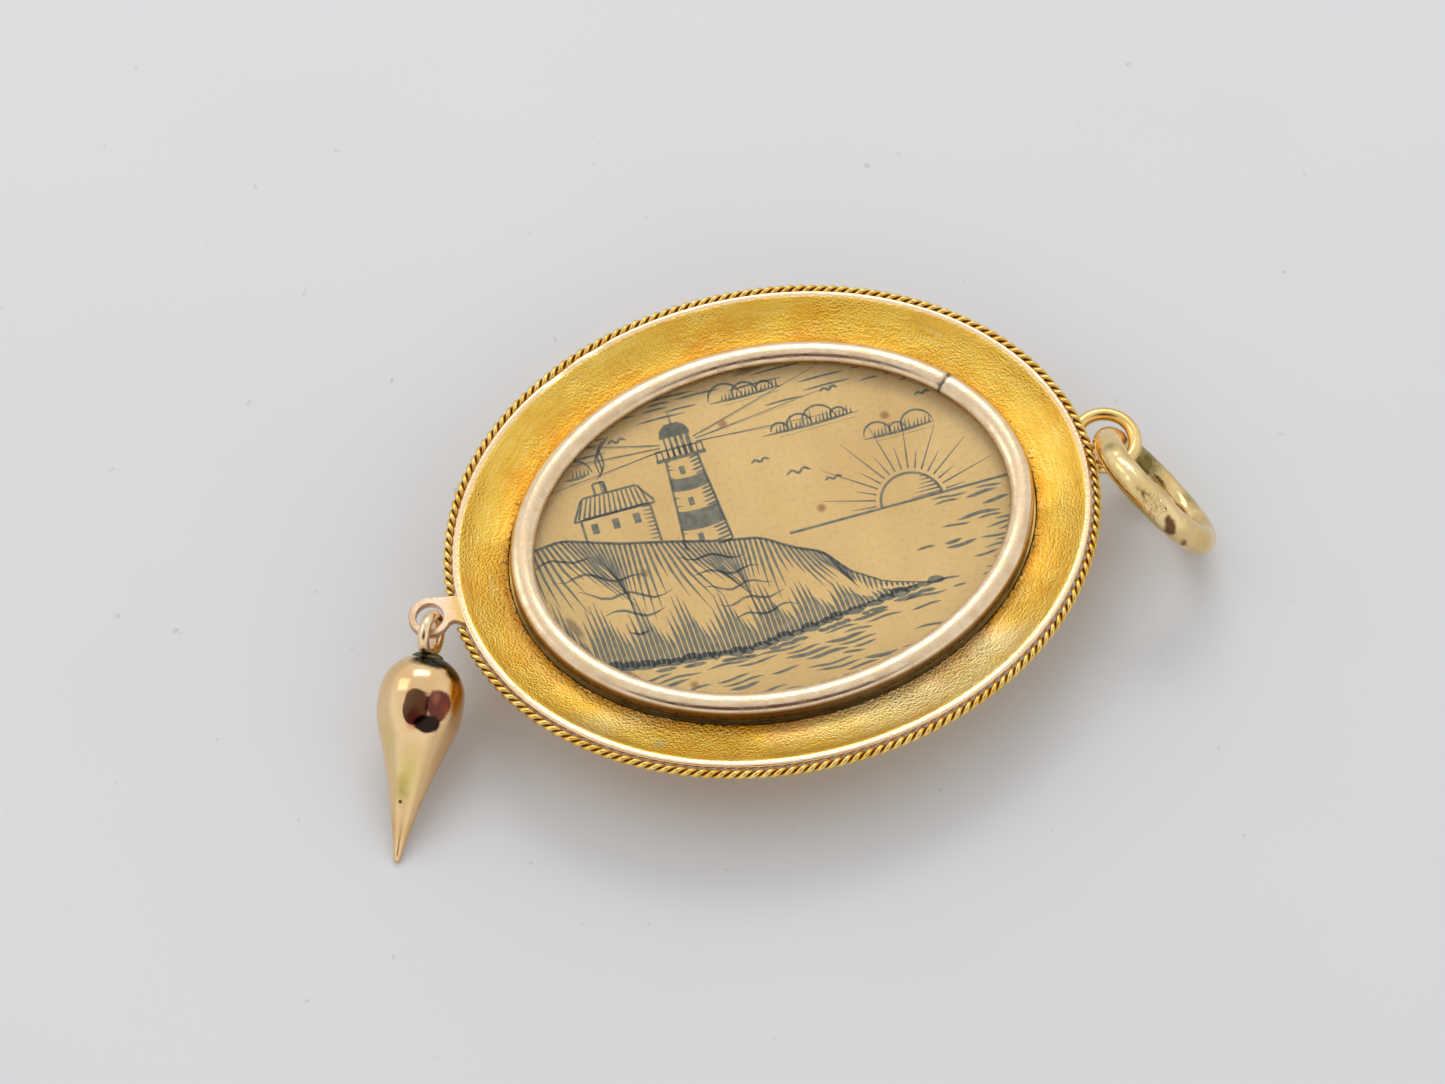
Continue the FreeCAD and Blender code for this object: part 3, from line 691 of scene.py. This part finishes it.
# the headland: its skyline and its foot
skyline = [(-15.2, 2.6), (-12.4, 2.9), (-9.0, 1.7), (-6.2, 1.0), (-3.4, 0.2), (-0.9, -0.3),
           (0.8, -1.5), (2.4, -2.3), (3.6, -4.0), (5.4, -5.3), (7.6, -6.0)]
foot = [(-15.2, -5.4), (-10.0, -6.6), (-4.0, -7.3), (1.0, -6.8), (5.0, -6.3), (7.6, -6.05)]
stroke(skyline, LINE * 1.2, end=0.4, parts=40)
x = -14.9
while x < 7.2:
    top = between(skyline, x)
    bottom = between(foot, x)
    lean = 0.25 + 0.3 * math.sin(x * 0.9)
    deep = (top - bottom) * (0.30 + 0.25 * math.sin(x * 1.7) ** 2 + 0.12 * chance.random())
    stroke([(x, top), (x + lean * deep * 0.4, top - deep * 0.5), (x + lean * deep, top - deep)],
           LINE * 1.15, end=0.15)
    rise = (top - bottom) * (0.22 + 0.30 * math.sin(x * 1.3 + 1) ** 2 + 0.10 * chance.random())
    stroke([(x + 0.16, bottom), (x + 0.10, bottom + rise * 0.5), (x - 0.12, bottom + rise)],
           LINE * 1.5, end=0.1)
    x += HATCH * 0.92
for level in range(5):
    down = (level + 1) / 7
    for first, stride, count, high, often, late, width, parts in (
            (-14.5 + level * 1.1, 0.6, int(7 + 4 * math.sin(level)), 0.25, 2.2, level * 1.7,
             LINE * 1.1, 20),
            (-6.0 + level * 0.5, 0.5, 9, 0.20, 2.6, level - 7.5 * 2.6, LINE, 18)):
        ledge = [first + stride * k for k in range(count)]
        stroke([(x, between(skyline, x) * (1 - down) + between(foot, x) * down
                 + high * math.sin(x * often + late)) for x in ledge],
               width, 0.2, 0.2, parts)
# dark rocks at the foot
x = -14.8
while x < 8.2:
    y = between(foot, min(x, 7.5))
    wide = 0.5 + 0.9 * chance.random()
    high = 0.28 + 0.42 * chance.random()
    stroke([(x, y - 0.05), (x + wide * 0.4, y + 0.12 * chance.random()), (x + wide, y - 0.10)],
           high, 0.2, 0.15, parts=6)
    if chance.random() < 0.6:
        stroke([(x + 0.1, y - 0.42), (x + wide * 1.1, y - 0.5)], 0.24, 0.2, 0.1, parts=4)
    x += wide * 0.72


# the tower, its gallery, lantern and dome
def tower_half(y):
    return 1.45 - 0.075 * (y - 0.2)


TOWER_X = -3.9
TOWER_FOOT = 0.15
TOWER_TOP = 6.3
for side in (-1, 1):
    stroke([(TOWER_X + side * tower_half(TOWER_FOOT), TOWER_FOOT),
            (TOWER_X + side * tower_half(TOWER_TOP), TOWER_TOP)], LINE)
y = TOWER_FOOT
while y < TOWER_TOP:
    half = tower_half(y)
    band = 1.5 < y < 2.7 or 4.0 < y < 5.0
    first = -0.98 if band else 0.28 + 0.22 * chance.random()
    thick = 0.24 if band else LINE * 1.05
    round_it = [first + (0.99 - first) * k / 5 for k in range(6)]
    stroke([(TOWER_X + half * part, y - 0.16 * (1 - part ** 2)) for part in round_it],
           thick, 1.0 if band else 0.15, 1.0, parts=6)
    if not band and chance.random() < 0.8:
        short = 0.62 + 0.2 * chance.random()
        stroke([(TOWER_X - half * 0.98, y - 0.02), (TOWER_X - half * short, y - 0.10)],
               LINE * 0.8, 1.0, 0.2)
    y += 0.215 if band else HATCH * 0.86
for wx, wy in ((-0.35, 0.75), (-0.25, 3.25), (-0.2, 5.45)):
    stroke([(TOWER_X + wx, wy - 0.28), (TOWER_X + wx, wy + 0.28)], 0.34)
stroke([(TOWER_X - 1.55, TOWER_TOP + 0.08), (TOWER_X + 1.55, TOWER_TOP + 0.08)], 0.26)
for k in range(9):
    post = TOWER_X - 1.44 + 0.36 * k
    stroke([(post, TOWER_TOP + 0.15), (post, TOWER_TOP + 0.72)], LINE * 0.7)
stroke([(TOWER_X - 1.5, TOWER_TOP + 0.74), (TOWER_X + 1.5, TOWER_TOP + 0.74)], LINE * 0.9)
for k in range(5):
    bar = TOWER_X - 0.72 + 0.36 * k
    stroke([(bar, TOWER_TOP + 0.2), (bar, TOWER_TOP + 1.55)], LINE * (0.8 + 0.25 * k))
for k in range(7):
    half = math.sqrt(1 - (k / 7) ** 2) * 0.95
    level = TOWER_TOP + 1.62 + 0.13 * k
    stroke([(TOWER_X - half, level), (TOWER_X + half, level)], 0.17)
stroke([(TOWER_X, TOWER_TOP + 2.4), (TOWER_X, TOWER_TOP + 3.25)], 0.12, 1.0, 0.4)
# beams of the lamp
for dx, dy in ((-9.5, 2.5), (-9.9, 0.7), (-9.7, -1.2), (9.6, 2.9), (10.4, 1.3), (10.6, -0.6)):
    stroke([(TOWER_X + 0.11 * dx, TOWER_TOP + 0.9 + 0.11 * dy),
            (TOWER_X + dx, TOWER_TOP + 0.9 + dy)], LINE * 0.62, 1.0, 0.35)
    stroke([(TOWER_X + 0.16 * dx, TOWER_TOP + 0.9 + 0.13 * dy),
            (TOWER_X + 0.7 * dx, TOWER_TOP + 0.72 + 0.72 * dy)], LINE * 0.55, 0.4, 0.2)
# the keeper's house
stroke([(-10.9, 2.35), (-10.9, 3.9), (-6.6, 3.9), (-6.6, 1.2)], LINE, parts=24)
stroke([(-11.3, 3.85), (-10.5, 5.3), (-7.1, 5.3), (-6.2, 3.85), (-11.3, 3.85)], LINE, parts=40)
for k in range(14):
    stroke([(-11.0 + 0.33 * k, 3.95), (-10.45 + 0.27 * k, 5.25)], LINE * 1.1, 1.0, 0.5)
stroke([(-9.6, 5.3), (-9.6, 6.1), (-8.9, 6.1), (-8.9, 5.3)], LINE, parts=18)
for k in range(5):
    stroke([(-9.2, 5.4 + 0.16 * k), (-8.9, 5.4 + 0.16 * k)], LINE * 0.8)
for wx in (-10.2, -8.9, -7.6):
    stroke([(wx, 2.75), (wx, 3.45)], 0.42)
for k in range(9):
    stroke([(-7.15, 3.75 - 0.28 * k), (-6.65, 3.72 - 0.28 * k)], LINE * 0.9, 0.3, 1.0)
# smoke, sun and its rays
for k in range(3):
    stroke([(-9.25 + 0.3 * math.sin(j * 0.9 + k) + 0.20 * j, 6.3 + 0.42 * j + 0.1 * k)
            for j in range(7)], LINE * 0.8, 0.3, 0.2, parts=18)
SUN = (8.6, -0.55)
stroke([around(*SUN, 1.9, math.pi * k / 18) for k in range(19)], LINE * 1.1, parts=36)
for k in range(6):
    level = SUN[1] + 0.15 + 0.26 * k
    half = math.sqrt(1.85 ** 2 - (level - SUN[1]) ** 2)
    stroke([(SUN[0] + half * 0.15 * k, level), (SUN[0] + half, level)], LINE * 0.9, 0.2, 1.0)
for k in range(17):
    turn = math.pi * (k + 0.5) / 17
    far = 3.4 + 1.9 * (k % 2) + 0.5 * chance.random()
    stroke([around(*SUN, 2.2, turn), around(*SUN, far, turn)], LINE, 0.8, 0.2)
stroke([(0.9, SUN[1] - 0.02), (14.6, SUN[1] + 0.02)], LINE * 1.15, parts=6)
# clouds: a scalloped top edge and a hatched underside
for cx, cy, puffs in ((4.2, 6.4, 4), (9.2, 4.4, 3), (-12.2, 8.6, 2), (1.0, 9.5, 3),
                      (-10.4, 6.9, 1)):
    for puff in range(puffs):
        centre = cx + 1.25 * (puff - (puffs - 1) / 2)
        radius = 0.78 + 0.30 * math.sin(2.1 * puff + cx)
        stroke([around(centre, cy, radius, math.pi * k / 10) for k in range(11)],
               LINE, 0.4, 0.4, parts=14)
        for k in range(5):
            sx = centre - 0.2 + 0.24 * k
            stroke([(sx, cy - 0.12), (sx + 0.10, cy + 0.28 + 0.16 * k * chance.random())],
                   LINE, 1.0, 0.15)
    stroke([(cx - 0.75 * puffs, cy - 0.14), (cx, cy - 0.20), (cx + 0.78 * puffs, cy - 0.10)],
           LINE * 1.2, 0.2, 0.2, parts=8)
    stroke([(cx - 0.5 * puffs, cy - 0.48), (cx + 0.7 * puffs, cy - 0.44)], LINE * 0.9, 0.2, 0.2)
# level lines of the upper sky
y = 10.6
while y > 7.4:
    x = -13.0 + 2.0 * chance.random()
    while x < 12.0:
        run = 1.2 + 2.4 * chance.random()
        if chance.random() < 0.16 + 0.14 * (y - 7.4):
            stroke([(x, y), (x + run * 0.5, y + 0.03), (x + run, y - 0.02)], LINE * 0.9, 0.15, 0.15,
                   parts=4)
        x += run + 0.3
    y -= HATCH
# gulls
for gx, gy, wing in ((2.6, 3.2, 0.8), (4.5, 2.2, 0.55), (0.6, 4.6, 0.6), (6.0, 8.2, 0.6),
                     (-7.4, 8.4, 0.6), (11.4, 6.3, 0.5)):
    for side in (-1, 1):
        stroke([(gx, gy), (gx + side * wing * 0.45, gy + wing * 0.42),
                (gx + side * wing, gy + 0.05)], LINE * 1.1, 1.0, 0.2, parts=8)
# the sea: broken level lines, darker near the rocks and open under the sun
y = SUN[1] - 0.36
while y > -10.9:
    x = max(-15.0, 1.0 + (SUN[1] - y) * 1.15) if y > -6.1 else -15.0
    while x < 14.6:
        glitter = abs(x - SUN[0]) < 0.9 + 0.16 * (SUN[1] - y)
        run = (0.5 if glitter else 1.4) + 1.6 * chance.random()
        shore = between(foot, x) - 0.5 if x < 7.6 else 9.0
        if y < shore and chance.random() < (0.30 if glitter else 0.74 if y > -8 else 0.5):
            along = [x + run * k / 6 for k in range(7)]
            thick = LINE * (1.5 if chance.random() < 0.22 else 1.0)
            stroke([(spot, y + 0.07 * math.sin(spot * 2.3 + y * 3)) for spot in along],
                   thick, 0.15, 0.15, parts=8)
        x += run + 0.12 + 0.45 * chance.random()
    y -= HATCH
# keep what the paper's oval holds
outside = [face for face in ink_work.faces if math.hypot(
    face.calc_center_median().x / (14.9 * MM), face.calc_center_median().y / (11.2 * MM)) > 1]
bmesh.ops.delete(ink_work, geom=outside, context="FACES")
bmesh.ops.recalc_face_normals(ink_work, faces=ink_work.faces)
for face in ink_work.faces:
    if face.normal.z < 0:
        face.normal_flip()

ink, tree, surface = finish("grey_ink", (0.125, 0.120, 0.085), 0.7)
patch = cloudy(tree, own_place(tree), 2500.0, 4.0)
feed(surface, "Base Color", steps(tree, patch, (0.35, (0.085, 0.085, 0.050)),
                                  (0.68, (0.21, 0.18, 0.10))))
new_piece("picture_ink", ink_work, ink, "case")


# ---- Top loop and bail ring
# Two closed wire rings of yellow gold.  The thin one is soldered under the rope; the thick one
# hangs in it for the chain, and has knocks, facets and a little verdigris where it rubs, with a
# painted reflection and painted shade on its limbs.

LOOP_CENTRE = Vector((21.0, 0, 4.77)) * MM
LOOP_MID = 1.85 * MM
LOOP_WIRE = 0.80 * MM
BAIL_CENTRE = Vector((22.838, -3.951, 4.425)) * MM
BAIL_AXIS = Vector((0.81907, 0.27724, 0.50227))
BAIL_MID = 4.10 * MM
BAIL_WIRE = 1.76 * MM


def wire_ring(mid, wire, steps_round, facets, knocks=0.0):
    """A closed ring of round wire about Z, with small knocks in its surface."""
    work = bmesh.new()
    ring = bmesh.ops.create_circle(work, segments=facets, radius=wire / 2)["verts"]
    turn_by(work, ring, math.pi / 2, "X")
    bmesh.ops.translate(work, verts=ring, vec=(mid, 0, 0))
    spin_round(work, work.verts[:] + work.edges[:], steps_round)
    smooth_out(work)
    for corner in work.verts:
        middle = Vector((corner.co.x, corner.co.y, 0)).normalized() * mid
        hit = noise.noise(corner.co / (0.9 * MM)) + 0.5 * noise.noise(corner.co / (0.4 * MM))
        corner.co -= (corner.co - middle).normalized() * knocks * max(0.0, hit)
    return work


loop_gold, *_ = worn_metal("loop_gold", (0.93, 0.68, 0.30), (0.80, 0.52, 0.17), 0.15,
                           900.0, 0.01 * MM)
loop_work = wire_ring(LOOP_MID, LOOP_WIRE, 96, 24)
bmesh.ops.translate(loop_work, verts=loop_work.verts, vec=LOOP_CENTRE)
new_piece("loop_wire", loop_work, loop_gold, "case", ["top_loop"])

bail_gold, tree, surface, tone = worn_metal("bail_gold", (0.88, 0.66, 0.33),
                                            (0.74, 0.52, 0.20), 0.17, 500.0, 0.03 * MM)
place = own_place(tree)
# of these marks, the two dark brown patches on the upper near limb are a painted reflection, and
# the dark olive patch on the inner side of the far limb is painted shade
for spot, spread, colour, soft in (
        ((20.3, -2.2, 8.3), (0.6, 0.5, 0.6), (0.26, 0.24, 0.08), 0.9),
        ((24.4, -8.8, 1.9), (1.0, 0.9, 0.9), (0.16, 0.14, 0.11), 0.8),
        ((22.2, -8.0, 7.35), (0.42, 1.05, 0.80), (0.10, 0.040, 0.012), 0.4),
        ((22.9, -8.9, 6.1), (0.30, 0.60, 0.60), (0.14, 0.06, 0.02), 0.4),
        ((23.3, -1.2, 2.6), (1.7, 1.7, 1.5), (0.13, 0.10, 0.02), 0.7),
        ((25.2, -3.9, 1.8), (0.9, 1.1, 0.9), (0.40, 0.30, 0.12), 0.9)):
    tone = marked(tree, tone, place, spot, spread, colour, soft, 2400.0, 0.92)
feed(surface, "Base Color", tone)
# the top of the near side is scored where something hard has rubbed it
scored = marked(tree, 0.06, place, (21.5, -6.7, 8.2), (0.9, 1.3, 0.9), 1.0, 0.5, 2400.0)
hard = cloudy(tree, drawn_out(tree, place, (2.2, 1.0, 0.6)), 1900.0, 3.0)
feed(surface, "Normal", bumped(tree, hard, scored, 0.28 * MM))
bail_work = wire_ring(BAIL_MID, BAIL_WIRE, 240, 56, 0.05 * MM)
bmesh.ops.transform(bail_work, verts=bail_work.verts,
                    matrix=Matrix.Translation(BAIL_CENTRE)
                    @ BAIL_AXIS.to_track_quat("Z", "Y").to_matrix().to_4x4())
# the knocks are small flats on the limb that lies uppermost
for spot, deep in (((22.07, -7.72, 7.58), 0.10), ((23.4, -8.9, 4.4), 0.07)):
    arm = Vector(spot) * MM - BAIL_CENTRE
    level = (arm - BAIL_AXIS * arm.dot(BAIL_AXIS)).normalized() * BAIL_MID
    facing = (arm - level).normalized()
    crest = level + facing * BAIL_WIRE / 2 + BAIL_CENTRE
    for corner in bail_work.verts:
        proud = (corner.co - crest).dot(facing) + deep * MM
        if proud > 0 and (corner.co - crest).length < 1.3 * MM:
            corner.co -= facing * proud * 0.92
new_piece("bail_wire", bail_work, bail_gold, "bail", ["bail_ring"])


# ---- Bottom eyelet
# A flat lug of rose gold, cut from sheet with a round hole, filed milled round its lower edge and
# soldered to the edge of the lip by a flared neck.

EYELET_CENTRE = Vector((-21.25, -0.20, 5.32)) * MM
EYELET_OUTER = 1.25 * MM
EYELET_HOLE = 0.82 * MM
EYELET_THICK = 0.54 * MM
EYELET_STEPS = 92

eyelet_work = bmesh.new()
outline = []
for step in range(EYELET_STEPS + 1):
    turn = math.radians(74 + 241 * step / EYELET_STEPS)
    milled = 0.022 * MM * (step % 2) if turn > math.pi else 0.0
    radius = EYELET_OUTER - milled
    outline.append((radius * math.cos(turn), radius * math.sin(turn)))
# the neck: a hollow fillet below, and a straight edge above
outline += [(x * MM, y * MM) for x, y in (
    (1.00, -0.75), (1.17, -0.68), (1.36, -0.70), (1.54, -0.80), (1.70, -0.94), (1.93, -1.08),
    (1.93, 0.88))]
corners = [eyelet_work.verts.new((x, y, 0)) for x, y in outline]
edges = [eyelet_work.edges.new((a, b)) for a, b in zip(corners, corners[1:] + corners[:1])]
hole = bmesh.ops.create_circle(eyelet_work, segments=48, radius=EYELET_HOLE)["verts"]
edges += list({edge for corner in hole for edge in corner.link_edges})
filled = bmesh.ops.triangle_fill(eyelet_work, edges=edges, use_beauty=True)
flat = [item for item in filled["geom"] if isinstance(item, bmesh.types.BMFace)]
lifted = bmesh.ops.extrude_face_region(eyelet_work, geom=flat)["geom"]
bmesh.ops.translate(eyelet_work, verts=[v for v in lifted if isinstance(v, bmesh.types.BMVert)],
                    vec=(0, 0, EYELET_THICK))
bmesh.ops.recalc_face_normals(eyelet_work, faces=eyelet_work.faces)
sharp = [edge for edge in eyelet_work.edges if edge.calc_face_angle(0) > math.radians(60)]
bmesh.ops.bevel(eyelet_work, geom=sharp, offset=0.07 * MM, segments=3, profile=0.5,
                affect="EDGES", material=-1)
for face in eyelet_work.faces:
    face.smooth = abs(face.normal.z) < 0.99
bmesh.ops.translate(eyelet_work, verts=eyelet_work.verts, vec=EYELET_CENTRE)
eyelet_gold, tree, surface, tone = worn_metal("eyelet_gold", (0.76, 0.54, 0.37),
                                              (0.56, 0.37, 0.22), 0.28, 1600.0, 0.03 * MM)
place = own_place(tree)
# the bloomed skin of the dish runs out over the neck
tone = marked(tree, tone, place, EYELET_CENTRE / MM + Vector((2.35, -0.1, 0.5)),
              (1.45, 1.9, 2.0), (0.66, 0.42, 0.14), 0.5, 1500.0, 0.9)
feed(surface, "Base Color", tone)
new_piece("eyelet_lug", eyelet_work, eyelet_gold, "case", ["bottom_eyelet"])


# ---- Drop
# A hollow pear in two turned shells, soldered at the widest girth and polished.  A cap of solder,
# gone black and green, holds its wire loop, and a tiny vent is drilled in the cone.  Two dark
# lobes in its front are a painted reflection, and the vent is painted as a dark dot of shade.

DROP_GIRTH = Vector((-23.1556, -4.7541, 3.7959)) * MM
DROP_UP = Vector((0.40269, 0.82564, 0.39516)).normalized()
VENT_SIDE = Vector((-0.36951, -0.24834, 0.89543)).normalized()
DROP_RADIUS = 2.55 * MM
DROP_STRAIGHT = 0.55 * MM
BELLY_LENGTH = 1.80 * MM
BELLY_RADIUS = 2.2148 * MM
CONE_LENGTH = 9.30 * MM
TIP_RADIUS = 0.20 * MM
CONE_CURVE = 40.0 * MM
BELLY_CURVE = 5.0 * MM
CAP_RADIUS = 0.95 * MM
DOME_CUT = 2.9164 * MM
LOOP_FOOT = 3.2164 * MM
DROP_LOOP_MID_HEIGHT = 4.2364 * MM
DROP_LOOP_MID = 1.14 * MM
DROP_LOOP_WIRE = 0.72 * MM
DROP_WALL = 0.25 * MM

side_way = DROP_UP.cross(-VENT_SIDE)
drop_pose = Matrix.Translation(DROP_GIRTH) @ Matrix(
    (-VENT_SIDE, side_way, DROP_UP)).transposed().to_4x4()


def turned_shell(section, steps_round=240):
    """A shell turned about its own upright axis, with its sharp edges kept."""
    work = bmesh.new()
    corners = [work.verts.new((radius, 0, height)) for radius, height in section]
    edges = [work.edges.new((a, b)) for a, b in zip(corners, corners[1:])]
    spin_round(work, corners + edges, steps_round)
    smooth_out(work)
    for edge in work.edges:
        edge.smooth = edge.calc_face_angle(0) < math.radians(40)
    return work


def arc_points(start, stop, radius, count, side):
    """Points of an arc in a section, with its centre to the left (1) or right (-1) of its way."""
    start, stop = Vector(start), Vector(stop)
    chord = stop - start
    across = Vector((-chord.y, chord.x)).normalized()
    centre = (start + stop) / 2 + across * side * math.sqrt(radius ** 2 - (chord.length / 2) ** 2)
    first = math.atan2(start.y - centre.y, start.x - centre.x)
    swept = (start - centre).angle_signed(stop - centre) * -1
    return [(centre.x + radius * math.cos(first + swept * k / count),
             centre.y + radius * math.sin(first + swept * k / count)) for k in range(count + 1)]


INNER_RADIUS = DROP_RADIUS - DROP_WALL
CAP_HOLE = 0.5 * MM
dome_section = [(INNER_RADIUS, 0), (DROP_RADIUS, 0), (DROP_RADIUS, 0.25 * MM)]
dome_section += arc_points((DROP_RADIUS, DROP_STRAIGHT), (CAP_RADIUS, DOME_CUT), DROP_RADIUS, 40, 1)
dome_section += [(CAP_HOLE, DOME_CUT)]
dome_section += arc_points((CAP_HOLE, DOME_CUT - 0.22 * MM), (INNER_RADIUS, DROP_STRAIGHT),
                           INNER_RADIUS, 12, -1)
dome_section += [(INNER_RADIUS, 0)]
dome_work = turned_shell(dome_section)
# the point is rounded by wear
cone_section = [(0, -CONE_LENGTH), (0.08 * MM, 0.018 * MM - CONE_LENGTH),
                (0.15 * MM, 0.07 * MM - CONE_LENGTH)]
cone_section += arc_points((TIP_RADIUS, TIP_RADIUS - CONE_LENGTH), (BELLY_RADIUS, -BELLY_LENGTH),
                           CONE_CURVE, 30, -1)
cone_section += arc_points((BELLY_RADIUS, -BELLY_LENGTH), (DROP_RADIUS, 0), BELLY_CURVE, 30, 1)[1:]
cone_section += [(INNER_RADIUS, 0), (BELLY_RADIUS - DROP_WALL, -BELLY_LENGTH),
                 (0, 8 * DROP_WALL - CONE_LENGTH)]
cone_work = turned_shell(cone_section)

shell_gold, tree, surface = finish("shell_gold", (0.86, 0.62, 0.38), 0.14, 1.0)
place = node(tree, "ShaderNodeMapping", {
    "Vector": own_place(tree), "Location": drop_pose.translation, "Rotation": drop_pose.to_euler()},
    vector_type="TEXTURE").outputs[0]
patch = cloudy(tree, place, 330.0, 4.0)
tone = steps(tree, patch, (0.35, (0.80, 0.51, 0.24)), (0.65, (0.88, 0.62, 0.34)))
# marks of tarnish, the painted reflection of two dark lobes and the vent painted as a dark dot of
# shade: where each lies from the middle of the girth, how far it spreads, and its colour
for spot, spread, colour, soft, amount in (
        ((-1.34, -0.45, -4.0), (1.5, 1.0, 2.6), (0.62, 0.50, 0.12), 0.9, 0.75),
        ((-1.20, -0.10, -5.0), (1.0, 0.6, 1.3), (0.42, 0.34, 0.07), 0.9, 0.8),
        ((-1.60, 0.95, -2.2), (0.9, 0.7, 2.4), (0.72, 0.62, 0.22), 0.9, 0.7),
        ((-0.56, -2.35, 0.9), (1.1, 0.8, 1.3), (0.70, 0.33, 0.05), 0.6, 0.95),
        # painted reflection: the next five marks paint the two dark lobes, red-brown and black,
        # over the knocks in the front of the bulb
        ((-2.35, -0.62, -0.80), (0.7, 0.50, 0.80), (0.62, 0.16, 0.10), 0.5, 0.9),
        ((-1.75, -1.90, 0.15), (0.9, 0.84, 1.15), (0.13, 0.030, 0.025), 0.22, 0.97),
        ((-1.95, -1.70, 0.65), (0.5, 0.30, 0.60), (0.36, 0.13, 0.07), 0.9, 0.8),
        ((-1.40, -2.20, -0.10), (0.5, 0.30, 0.70), (0.28, 0.06, 0.03), 0.9, 0.8),
        ((-2.03, -1.45, -1.00), (0.85, 0.96, 0.62), (0.030, 0.018, 0.014), 0.22, 1.0),
        ((-1.10, -0.90, 2.75), (1.7, 1.6, 0.62), (0.035, 0.040, 0.022), 0.35, 1.0),
        ((-0.40, -1.85, 2.15), (0.9, 0.8, 0.7), (0.06, 0.05, 0.015), 0.5, 0.95),
        # painted shade: the vent is painted as a dark dot, the shade inside its hole
        ((-0.90, -0.05, -5.70), (0.22, 0.14, 0.14), (0.02, 0.015, 0.01), 0.3, 0.9)):
    tone = marked(tree, tone, place, spot, spread, colour, soft, 1100.0, amount)
feed(surface, "Base Color", tone)
feed(surface, "Roughness", steps(tree, patch, (0.3, 0.19), (0.7, 0.10)))
# fine scratches run across the side of the cone that lies to the right
scored = cloudy(tree, drawn_out(tree, place, (1, 1, 9)), 700.0, 3.0)
sideways = node(tree, "ShaderNodeSeparateXYZ", {0: place}).outputs["Y"]
worn_side = spread_over(tree, sideways, -0.2 * MM, -1.4 * MM, 0.05, 0.55)
feed(surface, "Normal", bumped(tree, scored, worn_side, 0.02 * MM))
# two shallow knocks, nearly flat, in the front of the bulb
for facing in (Vector((-2.49, -0.56, -0.10)), Vector((-1.72, -1.90, 0.0))):
    facing.normalize()
    for corner in dome_work.verts[:] + cone_work.verts[:]:
        proud = corner.co.dot(facing) - DROP_RADIUS + 0.085 * MM
        if proud > 0:
            corner.co -= facing * proud * 0.85
for name, work, solid in (("drop_upper_shell", dome_work, "drop_dome"),
                          ("drop_lower_shell", cone_work, "drop_cone")):
    bmesh.ops.transform(work, verts=work.verts, matrix=drop_pose)
    new_piece(name, work, shell_gold, "drop", [solid])

cap_work = turned_shell([(CAP_RADIUS * part, DOME_CUT + height * MM) for part, height in (
    (0, 0), (1, 0.005), (0.92, 0.10), (0.78, 0.20), (0.58, 0.27), (0.3, 0.30), (0, 0.30))], 48)
for corner in cap_work.verts:
    lump = noise.noise(corner.co / (0.5 * MM))
    corner.co.z += 0.06 * MM * lump * (corner.co.z > DOME_CUT + 0.02 * MM)
bmesh.ops.transform(cap_work, verts=cap_work.verts, matrix=drop_pose)
black, tree, surface = finish("black_solder", (0.06, 0.06, 0.035), 0.42, 1.0)
place = own_place(tree)
patch = cloudy(tree, place, 1600.0, 4.0)
feed(surface, "Base Color", steps(tree, patch, (0.35, (0.03, 0.035, 0.02)),
                                  (0.6, (0.12, 0.12, 0.06)), (0.75, (0.5, 0.36, 0.16))))
feed(surface, "Normal", bumped(tree, patch, 0.6, 0.05 * MM))
new_piece("drop_solder_cap", cap_work, black, "drop", ["drop_cap"])

drop_loop_work = wire_ring(DROP_LOOP_MID, DROP_LOOP_WIRE, 80, 28, 0.02 * MM)
turn_by(drop_loop_work, drop_loop_work.verts, math.pi / 2, "X")
bmesh.ops.translate(drop_loop_work, verts=drop_loop_work.verts, vec=(0, 0, DROP_LOOP_MID_HEIGHT))
under = bmesh.ops.bisect_plane(drop_loop_work, geom=drop_loop_work.verts[:]
                               + drop_loop_work.edges[:] + drop_loop_work.faces[:],
                               plane_co=(0, 0, LOOP_FOOT - 0.02 * MM), plane_no=(0, 0, -1),
                               clear_outer=True)
rim_edges = [e for e in under["geom_cut"] if isinstance(e, bmesh.types.BMEdge)]
bmesh.ops.holes_fill(drop_loop_work, edges=rim_edges, sides=0)
bmesh.ops.transform(drop_loop_work, verts=drop_loop_work.verts, matrix=drop_pose)
drop_loop_gold, *_ = worn_metal("drop_loop_gold", (0.92, 0.70, 0.44), (0.66, 0.44, 0.22),
                                0.16, 1200.0, 0.02 * MM)
new_piece("drop_loop_wire", drop_loop_work, drop_loop_gold, "drop", ["drop_loop"])
